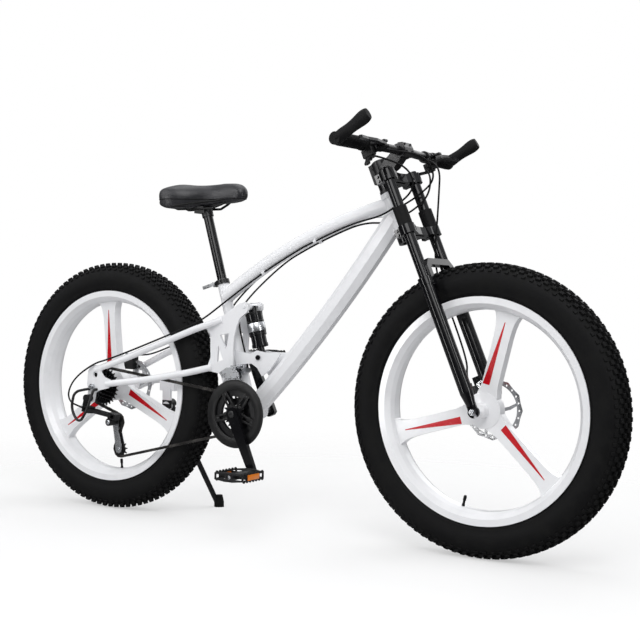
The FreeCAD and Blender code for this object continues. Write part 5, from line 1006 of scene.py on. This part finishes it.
@dataclass
class PedalCage:
    """An open pedal: a barrel between toothed plates and end plates, with a lens on each long side."""

    name: str
    middle: Point
    half_width: float = 49.0
    half_reach: float = 46.5
    plate: float = 4.0
    end_plate: float = 4.5
    end_reach: float = 44.0
    end_peak: Tuple[float, float] = (14.0, 13.2)
    teeth: int = 7
    strip_low: float = 5.5
    strip_high: float = 9.5
    tooth_tip: float = 13.6
    posts: Tuple[float, ...] = (-46.5, -27.5, 27.5, 46.5)
    post_half: float = 2.5
    post_rise: float = 6.0
    webs: Tuple[float, ...] = (-28.0, 31.0)
    web: float = 3.0
    web_span: Tuple[float, float] = (9.5, 43.5)
    web_rise: float = 5.0
    lens: float = 3.0
    lens_half: Tuple[float, float] = (26.0, 7.4)
    lens_proud: float = 1.2

    def toothed_strip(self, up: int) -> List[Tuple[float, float]]:
        """A strip along the axle with teeth on its outer edge, above or below the middle.

        Args:
            up: 1 above the middle, -1 below it.

        Returns:
            The strip's corners.
        """
        low, high, tip = (height * up for height in (self.strip_low, self.strip_high, self.tooth_tip))
        outline = [(-self.half_width, low), (self.half_width, low)]
        step = 2 * self.half_width / self.teeth
        for i in range(self.teeth):
            right = self.half_width - i * step
            outline += [(right, high), (right - step * 0.25, tip), (right - step * 0.5, tip),
                        (right - step * 0.75, high)]
        outline.append((-self.half_width, high))
        return outline

    def end_strip(self, up: int) -> List[Tuple[float, float]]:
        """A strip across an end, highest over the barrel, above or below the middle.

        Args:
            up: 1 above the middle, -1 below it.

        Returns:
            The strip's corners.
        """
        half, peak = self.end_peak
        low, high, top = (height * up for height in (self.strip_low, self.strip_high, peak))
        reach = self.end_reach
        return [(-reach, low), (reach, low), (reach, high), (half, top), (-half, top), (-reach, high)]

    def frame_parts(self) -> List[bmesh.types.BMesh]:
        """Barrel, plates, uprights and webs.

        Returns:
            The parts of the cage.
        """
        centre = Matrix.Translation(self.middle)
        barrel = [(6.2, -48.5), (13.0, -48.5), (13.0, -43.0), (10.5, -41.0), (10.5, 41.0), (13.0, 43.0),
                  (13.0, 48.5), (6.2, 48.5)]
        parts = [lathe(barrel, aimed(Vector(self.middle), AXLE), 28, ring=True)]
        for x in (-self.half_reach, self.half_reach - self.plate):
            wall = centre @ Matrix.Translation((x * MM, 0, 0)) @ FACING_AHEAD
            for up in (1, -1):
                parts.append(slab(self.toothed_strip(up), self.plate, wall))
            for y in self.posts:
                post = oblong(y - self.post_half, -self.post_rise, y + self.post_half, self.post_rise)
                parts.append(slab(post, self.plate, wall))
        level = Matrix.Rotation(math.pi / 2, 4, "X")
        for y in (-self.half_width + self.end_plate, self.half_width):
            end = centre @ Matrix.Translation((0, y * MM, 0)) @ level
            for up in (1, -1):
                parts.append(slab(self.end_strip(up), self.end_plate, end))
        for y in self.webs:
            web = centre @ Matrix.Translation((0, y * MM, 0)) @ level
            for side in (1, -1):
                near, far = (reach * side for reach in self.web_span)
                parts.append(slab(oblong(near, -self.web_rise, far, self.web_rise), self.web, web))
        return parts

    def lenses(self) -> List[bmesh.types.BMesh]:
        """The two lenses, each between the strips of a long side.

        Returns:
            The lenses.
        """
        made = []
        wide, high = self.lens_half
        for x in (-self.half_reach - self.lens_proud, self.half_reach + self.lens_proud - self.lens):
            spot = Vector(self.middle) + Vector((x * MM, 0, 0))
            place = Matrix.Translation(spot) @ FACING_AHEAD
            made.append(slab(oblong(-wide, -high, wide, high), self.lens, place))
        return made

    def build(self, bench: Workbench) -> None:
        """Put the cage and its lenses on the pedal's body.

        Args:
            bench: Makes and dresses the pieces.
        """
        cage = bench.piece(self.name + "_cage", joined(self.frame_parts()), MOULDED)
        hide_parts(self.name)
        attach(cage, self.name)
        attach(bench.piece(self.name + "_lenses", joined(self.lenses()), AMBER), self.name)


@dataclass
class ShockTrim:
    """The bright band round the shock's upper sleeve, its rings and its bright eye."""

    low: Vector = Vector((-0.072, 0, 0.475))
    high: Vector = Vector((-0.110, 0, 0.616))
    sleeve: float = 24.9
    rings: Tuple[float, ...] = (64.0, 69.0, 101.0, 122.0, 126.0)
    ring_height: float = 2.2

    def build(self, bench: Workbench) -> None:
        """Put the band, the rings and the eye on the upper half of the shock.

        Args:
            bench: Makes and dresses the pieces.
        """
        along = self.high - self.low
        base = aimed(self.low, along)
        r = self.sleeve
        band = hoop((r - 1.5, r - 0.2, r + 0.2), 73.0, 97.0, 1.0)
        eye = hoop((6.0, 9.4, 10.3), -13.2, 13.2, 0.8)
        bright = [lathe(band, base, 64, ring=True), lathe(eye, aimed(self.high, AXLE), 36, ring=True)]
        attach(bench.piece("shock_band", joined(bright), BRUSHED_STEEL), "shock_high")
        rings = []
        for level in self.rings:
            outline = hoop((r - 1.5, r - 0.6, r + 0.1), level, level + self.ring_height, 0.7)
            rings.append(lathe(outline, base, 64, ring=True))
        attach(bench.piece("shock_rings", joined(rings), SATIN_BLACK), "shock_high")


@dataclass
class GripRibs:
    """Moulded ribs round both grips."""

    inner: Point = (74.0, 60.0, 704.0)
    outer: Point = (58.0, 300.0, 710.0)
    radius: float = 16.0
    length: float = 96.0
    pitch: float = 5.0
    end_gap: float = 6.0
    root: float = 0.8
    crest: float = 0.9

    def build(self, bench: Workbench) -> None:
        """Put the ribs on the steered body.

        Args:
            bench: Makes and dresses the pieces.
        """
        ribs = []
        for side in (1, -1):
            inner = STEER @ (Vector((self.inner[0], self.inner[1] * side, self.inner[2])) * MM)
            outer = STEER @ (Vector((self.outer[0], self.outer[1] * side, self.outer[2])) * MM)
            place = aimed(outer, outer - inner)
            for i in range(int(self.length / self.pitch)):
                level = -self.length - self.end_gap + i * self.pitch
                low = self.radius - self.root
                high = self.radius + self.crest
                outline = [(low, level), (high, level + 0.8), (high, level + 2.2), (low, level + 3.0)]
                ribs.append(lathe(outline, place, 36, ring=True))
        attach(bench.piece("grip_ribs", joined(ribs), SOFT_RUBBER), "steer")


@dataclass
class WeldSeams:
    """Rippled weld beads along the open inner corners of a welded piece."""

    node: str
    body: str
    radius: float = 1.6
    step: float = 2.4
    least_angle: float = 25.0
    open_reach: float = 0.25
    neighbour: str = ""
    clearance: float = 18.0

    def clear_of_neighbour(self, spots: Sequence[Vector]) -> List[Vector]:
        """Those places that leave room for the piece that moves past them.

        Args:
            spots: All places for beads.

        Returns:
            The places farther than the clearance from the neighbour.
        """
        if not self.neighbour:
            return list(spots)
        made = node_copy(self.neighbour)
        tree = BVHTree.FromBMesh(made)
        made.free()
        return [spot for spot in spots if tree.find_nearest(spot, self.clearance * MM)[0] is None]

    def spots(self) -> List[Vector]:
        """Even places along the inner corners that nothing covers.

        Returns:
            The beads' places.
        """
        made = node_copy(self.node)
        tree = BVHTree.FromBMesh(made)
        least = math.radians(self.least_angle)
        spots = []
        for edge in made.edges:
            if not edge.is_manifold or edge.is_convex or edge.calc_face_angle() < least:
                continue
            first, second = (vert.co for vert in edge.verts)
            out = (edge.link_faces[0].normal + edge.link_faces[1].normal).normalized()
            if tree.ray_cast((first + second) * 0.5 + out * MM, out, self.open_reach)[0] is not None:
                continue
            count = max(1, round(edge.calc_length() / (self.step * MM)))
            spots.extend(first.lerp(second, (i + 0.5) / count) for i in range(count))
        made.free()
        return self.clear_of_neighbour(spots)

    def build(self, bench: Workbench) -> None:
        """Put the beads on the welded piece's body.

        Args:
            bench: Makes and dresses the pieces.
        """
        bead = bmesh.new()
        bmesh.ops.create_icosphere(bead, subdivisions=2, radius=self.radius * MM)
        data = bpy.data.meshes.new("bead")
        bead.to_mesh(data)
        bead.clear()
        here = Vector()
        for spot in self.spots():
            data.transform(Matrix.Translation(spot - here))
            bead.from_mesh(data)
            here = spot
        bpy.data.meshes.remove(data)
        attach(bench.piece(self.node + "_welds", bead, FRAME_ENAMEL), self.body)


@dataclass
class StandHinge:
    """The black hinge cover on the stand's bracket."""

    middle: Point = (-0.475, 0.0715, 0.313)

    def build(self, bench: Workbench) -> None:
        """Put the cover round the bracket's tongue.

        Args:
            bench: Makes and dresses the pieces.
        """
        place = Matrix.Translation(self.middle) @ Matrix.Rotation(-math.pi / 2, 4, "X")
        outline = [(-15.6, -14.0), (15.6, -14.0), (15.6, 10.0), (9.0, 18.0), (-9.0, 18.0), (-15.6, 10.0)]
        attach(bench.piece("stand_hinge_cover", slab(outline, 9.0, place, 1.2), MOULDED), "swing")


@dataclass
class SaddleCushion:
    """The padded saddle cover, swollen by a short cloth simulation, with a piped edge."""

    grow: float = 2.0
    skirt: float = 8.0
    facing_down: float = -0.3
    level_edge: float = 4.0
    voxel: float = 5.0
    pressure: float = 4.0
    cap: float = 5.0
    steps: int = 20
    piping_rise: float = 26.0
    piping_radius: float = 1.2

    def core(self) -> bpy.types.Object:
        """The cover's solid as a new object, drawn over the base's edge and evenly meshed.

        Returns:
            The new object.
        """
        made = node_copy("saddle_pad")
        for vert in made.verts:
            underside = vert.normal.z < self.facing_down
            vert.co += vert.normal * self.grow * MM
            if underside:
                vert.co.z -= self.skirt * MM
        core = add_object("saddle_cushion", mesh_from(made, "saddle_cushion"))
        remesh = core.modifiers.new("even mesh", "REMESH")
        remesh.mode = "VOXEL"
        remesh.voxel_size = self.voxel * MM
        self.apply(core)
        return core

    @staticmethod
    def apply(piece: bpy.types.Object) -> None:
        """Make a piece's modifiers part of its mesh.

        Args:
            piece: The piece to change.
        """
        data = final_mesh(piece)
        piece.modifiers.clear()
        piece.data = data

    def swell(self, core: bpy.types.Object) -> None:
        """Blow the cover up a little and keep each point near its start.

        Args:
            core: The evenly meshed cover.
        """
        before = [vert.co.copy() for vert in core.data.vertices]
        cloth = core.modifiers.new("stuffing", "CLOTH")
        cloth.settings.use_pressure = True
        cloth.settings.uniform_pressure_force = self.pressure
        cloth.settings.effector_weights.gravity = 0
        cloth.point_cache.frame_end = self.steps
        for step in range(1, self.steps + 1):
            bpy.context.scene.frame_set(step)
        self.apply(core)
        bpy.context.scene.frame_set(1)
        floor = min(spot.z for spot in before)
        for vert, spot in zip(core.data.vertices, before):
            move = vert.co - spot
            if move.length > self.cap * MM:
                move = move.normalized() * self.cap * MM
            if spot.z < floor + self.level_edge * MM:
                move.z = 0
            vert.co = spot + move

    def build(self, bench: Workbench) -> None:
        """Make the cushion and put it on the seat post.

        Args:
            bench: Makes and dresses the pieces.
        """
        core = self.core()
        self.swell(core)
        soft = core.modifiers.new("even skin", "SMOOTH")
        soft.iterations = 6
        finer = core.modifiers.new("finer skin", "SUBSURF")
        finer.levels = 1
        finer.render_levels = 1
        self.apply(core)
        data = core.data
        bpy.data.objects.remove(core)
        cushion = bench.dress("saddle_cushion", data, COVER, 70)
        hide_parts("saddle_pad")
        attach(cushion, "seat_post")
        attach(bench.dress("saddle_piping", self.piping(data), SOFT_RUBBER, 70), "seat_post")

    def piping(self, data: bpy.types.Mesh) -> bpy.types.Mesh:
        """A thin cord round the cover's lower edge.

        Args:
            data: The cover's mesh.

        Returns:
            The cord's mesh.
        """
        cover = bmesh.new()
        cover.from_mesh(data)
        bottom = min(vert.co.z for vert in cover.verts)
        level = Vector((0, 0, bottom + self.piping_rise * MM))
        everything = cover.verts[:] + cover.edges[:] + cover.faces[:]
        cut = bmesh.ops.bisect_plane(cover, geom=everything, plane_co=level, plane_no=UP)["geom_cut"]
        spots = [vert.co.copy() for vert in verts_in(cut)]
        cover.free()
        middle = sum(spots, Vector()) / len(spots)
        spots.sort(key=lambda spot: math.atan2(spot.y - middle.y, spot.x - middle.x))
        return tube_mesh("saddle_piping", spots[::3], self.piping_radius, loop=True)


@dataclass
class Studio:
    """A pale floor, soft lamps, a white surround and the camera."""

    place: Point = (1.87509, -2.78919, 0.64447)
    azimuth: float = 32.24
    elevation: float = 1.05
    roll: float = 0.97
    lens: float = 68.34
    sensor: float = 36.0
    floor_half: float = 9.0
    strip_width: float = 0.3
    strip_height: float = 2.6

    def floor(self) -> None:
        """A round pale floor that fades into the white surround."""
        made = bmesh.new()
        bmesh.ops.create_circle(made, cap_ends=True, radius=self.floor_half, segments=64)
        ground = add_object("studio_floor", mesh_from(made, "studio_floor"))
        ground.data.materials.append(self.floor_paint())

    @staticmethod
    def floor_paint() -> bpy.types.Material:
        """Matt pale paint near the bike, nothing far from it.

        Returns:
            The floor's material.
        """
        made = bpy.data.materials.new("pale_floor")
        made.use_nodes = True
        tree = made.node_tree
        shader = tree.nodes["Principled BSDF"]
        adjust(shader, {"Base Color": (0.93, 0.93, 0.935, 1), "Roughness": 0.9, "Specular IOR Level": 0.1})
        place = new_node(tree, "ShaderNodeTexCoord")
        reach = new_node(tree, "ShaderNodeVectorMath", operation="LENGTH")
        fade = new_node(tree, "ShaderNodeMapRange",
                        {"From Min": 0.5, "From Max": 2.6, "To Min": 0.55, "To Max": 0},
                        interpolation_type="SMOOTHSTEP")
        wire(place, "Object", reach, 0)
        wire(reach, "Value", fade, "Value")
        wire(fade, "Result", shader, "Alpha")
        return made

    @staticmethod
    def surround() -> None:
        """White to the eye, softer as a light, and dark near the ground in reflections."""
        world = bpy.data.worlds.new("white_surround")
        bpy.context.scene.world = world
        world.use_nodes = True
        tree = world.node_tree
        seen = tree.nodes["Background"]
        adjust(seen, {"Color": (1, 1, 1, 1), "Strength": 1})
        fill = new_node(tree, "ShaderNodeBackground", {"Color": (0.97, 0.98, 1, 1)})
        path = new_node(tree, "ShaderNodeLightPath")
        either = new_node(tree, "ShaderNodeMath", operation="MAXIMUM")
        mix = new_node(tree, "ShaderNodeMixShader")
        heading = new_node(tree, "ShaderNodeTexCoord")
        height = new_node(tree, "ShaderNodeSeparateXYZ")
        sky = new_node(tree, "ShaderNodeMapRange",
                       {"From Min": 0.05, "From Max": 0.75, "To Min": 0.07, "To Max": 1.0},
                       interpolation_type="SMOOTHSTEP")
        strength = new_node(tree, "ShaderNodeMix", {"A": 0.34})
        wire(path, "Is Camera Ray", either, 0)
        wire(path, "Is Transmission Ray", either, 1)
        wire(either, "Value", mix, "Fac")
        wire(heading, "Generated", height, "Vector")
        wire(height, "Z", sky, "Value")
        wire(path, "Is Glossy Ray", strength, "Factor")
        wire(sky, "Result", strength, "B")
        wire(strength, "Result", fill, "Strength")
        wire(fill, "Background", mix, 1)
        wire(seen, "Background", mix, 2)
        wire(mix, "Shader", tree.nodes["World Output"], "Surface")

    @staticmethod
    def lamp(name: str, place: Point, aim: Point, size: float, power: float) -> None:
        """One soft square lamp.

        Args:
            name: The lamp's name.
            place: Where it stands.
            aim: What it points at.
            size: Its side.
            power: Its power in watts.
        """
        data = bpy.data.lights.new(name, "AREA")
        data.size = size
        data.energy = power
        lamp = add_object(name, data)
        lamp.location = place
        lamp.rotation_euler = (Vector(aim) - Vector(place)).to_track_quat("-Z", "Y").to_euler()

    def strip(self, name: str, place: Point, aim: Point, power: float) -> None:
        """A tall narrow lamp that shows only as a line of light in glossy parts.

        Args:
            name: The lamp's name.
            place: Where it stands.
            aim: What it points at.
            power: Its power in watts.
        """
        self.lamp(name, place, aim, self.strip_width, power)
        strip = bpy.data.objects[name]
        strip.data.shape = "RECTANGLE"
        strip.data.size_y = self.strip_height
        strip.visible_diffuse = False

    def camera(self) -> None:
        """The camera at the viewing angle that the bike was seen from."""
        turn = math.radians(self.azimuth)
        rise = math.radians(self.elevation)
        lean = math.radians(self.roll)
        back = Vector((math.sin(turn) * math.cos(rise), -math.cos(turn) * math.cos(rise), math.sin(rise)))
        level = Vector((math.cos(turn), math.sin(turn), 0))
        upright = back.cross(level)
        right = level * math.cos(lean) + upright * math.sin(lean)
        up = upright * math.cos(lean) - level * math.sin(lean)
        data = bpy.data.cameras.new("studio_camera")
        data.lens = self.lens
        data.sensor_width = self.sensor
        camera = add_object("studio_camera", data)
        matrix = Matrix((right, up, back)).transposed().to_4x4()
        matrix.translation = Vector(self.place)
        camera.matrix_world = matrix
        bpy.context.scene.camera = camera

    def build(self) -> None:
        """Set the stage round the bike."""
        bpy.context.scene.view_settings.view_transform = "Standard"
        self.floor()
        self.surround()
        self.lamp("key_lamp", (1.6, -2.6, 2.9), (0, 0, 0.5), 2.4, 78)
        self.lamp("fill_lamp", (-2.6, -2.2, 1.8), (0, 0, 0.5), 2.2, 34)
        self.lamp("top_lamp", (0.0, 0.4, 3.4), (0, 0, 0.4), 2.6, 46)
        self.lamp("back_lamp", (0.4, 2.8, 2.0), (0, 0, 0.6), 2.2, 24)
        self.strip("front_strip", (3.2, -0.6, 1.2), (0.4, 0, 0.7), 34)
        self.strip("side_strip", (-1.3, -3.0, 1.2), (-0.1, 0, 0.7), 34)
        self.camera()


def main() -> None:
    """Build every sub-assembly in order, then the studio."""
    logging.basicConfig(level=logging.INFO)
    bench = Workbench(Paintbox())
    bench.dress_nodes()
    pieces: List[Any] = [
        KnobbyTyre("front", FRONT_AXLE),
        KnobbyTyre("rear", REAR_AXLE),
        WheelTrim("front", FRONT_AXLE, first_turn=13.8, valve_turn=193.0),
        WheelTrim("rear", REAR_AXLE, first_turn=-6.0, valve_turn=174.0),
        ChainRun(),
        GuardRing(),
        PedalCage("right_pedal", (-0.0352, -0.153, 0.1649)),
        PedalCage("left_pedal", (-0.1768, 0.153, 0.4741)),
        Hardware(),
        ShockTrim(),
        GripRibs(),
        WeldSeams("main_frame", "frame"),
        WeldSeams("swingarm", "swing", neighbour="shock_body"),
        StandHinge(),
        SaddleCushion(),
    ]
    pieces.extend(CABLES)
    for piece in pieces:
        piece.build(bench)
    Studio().build()


if __name__ == "__main__":
    main()
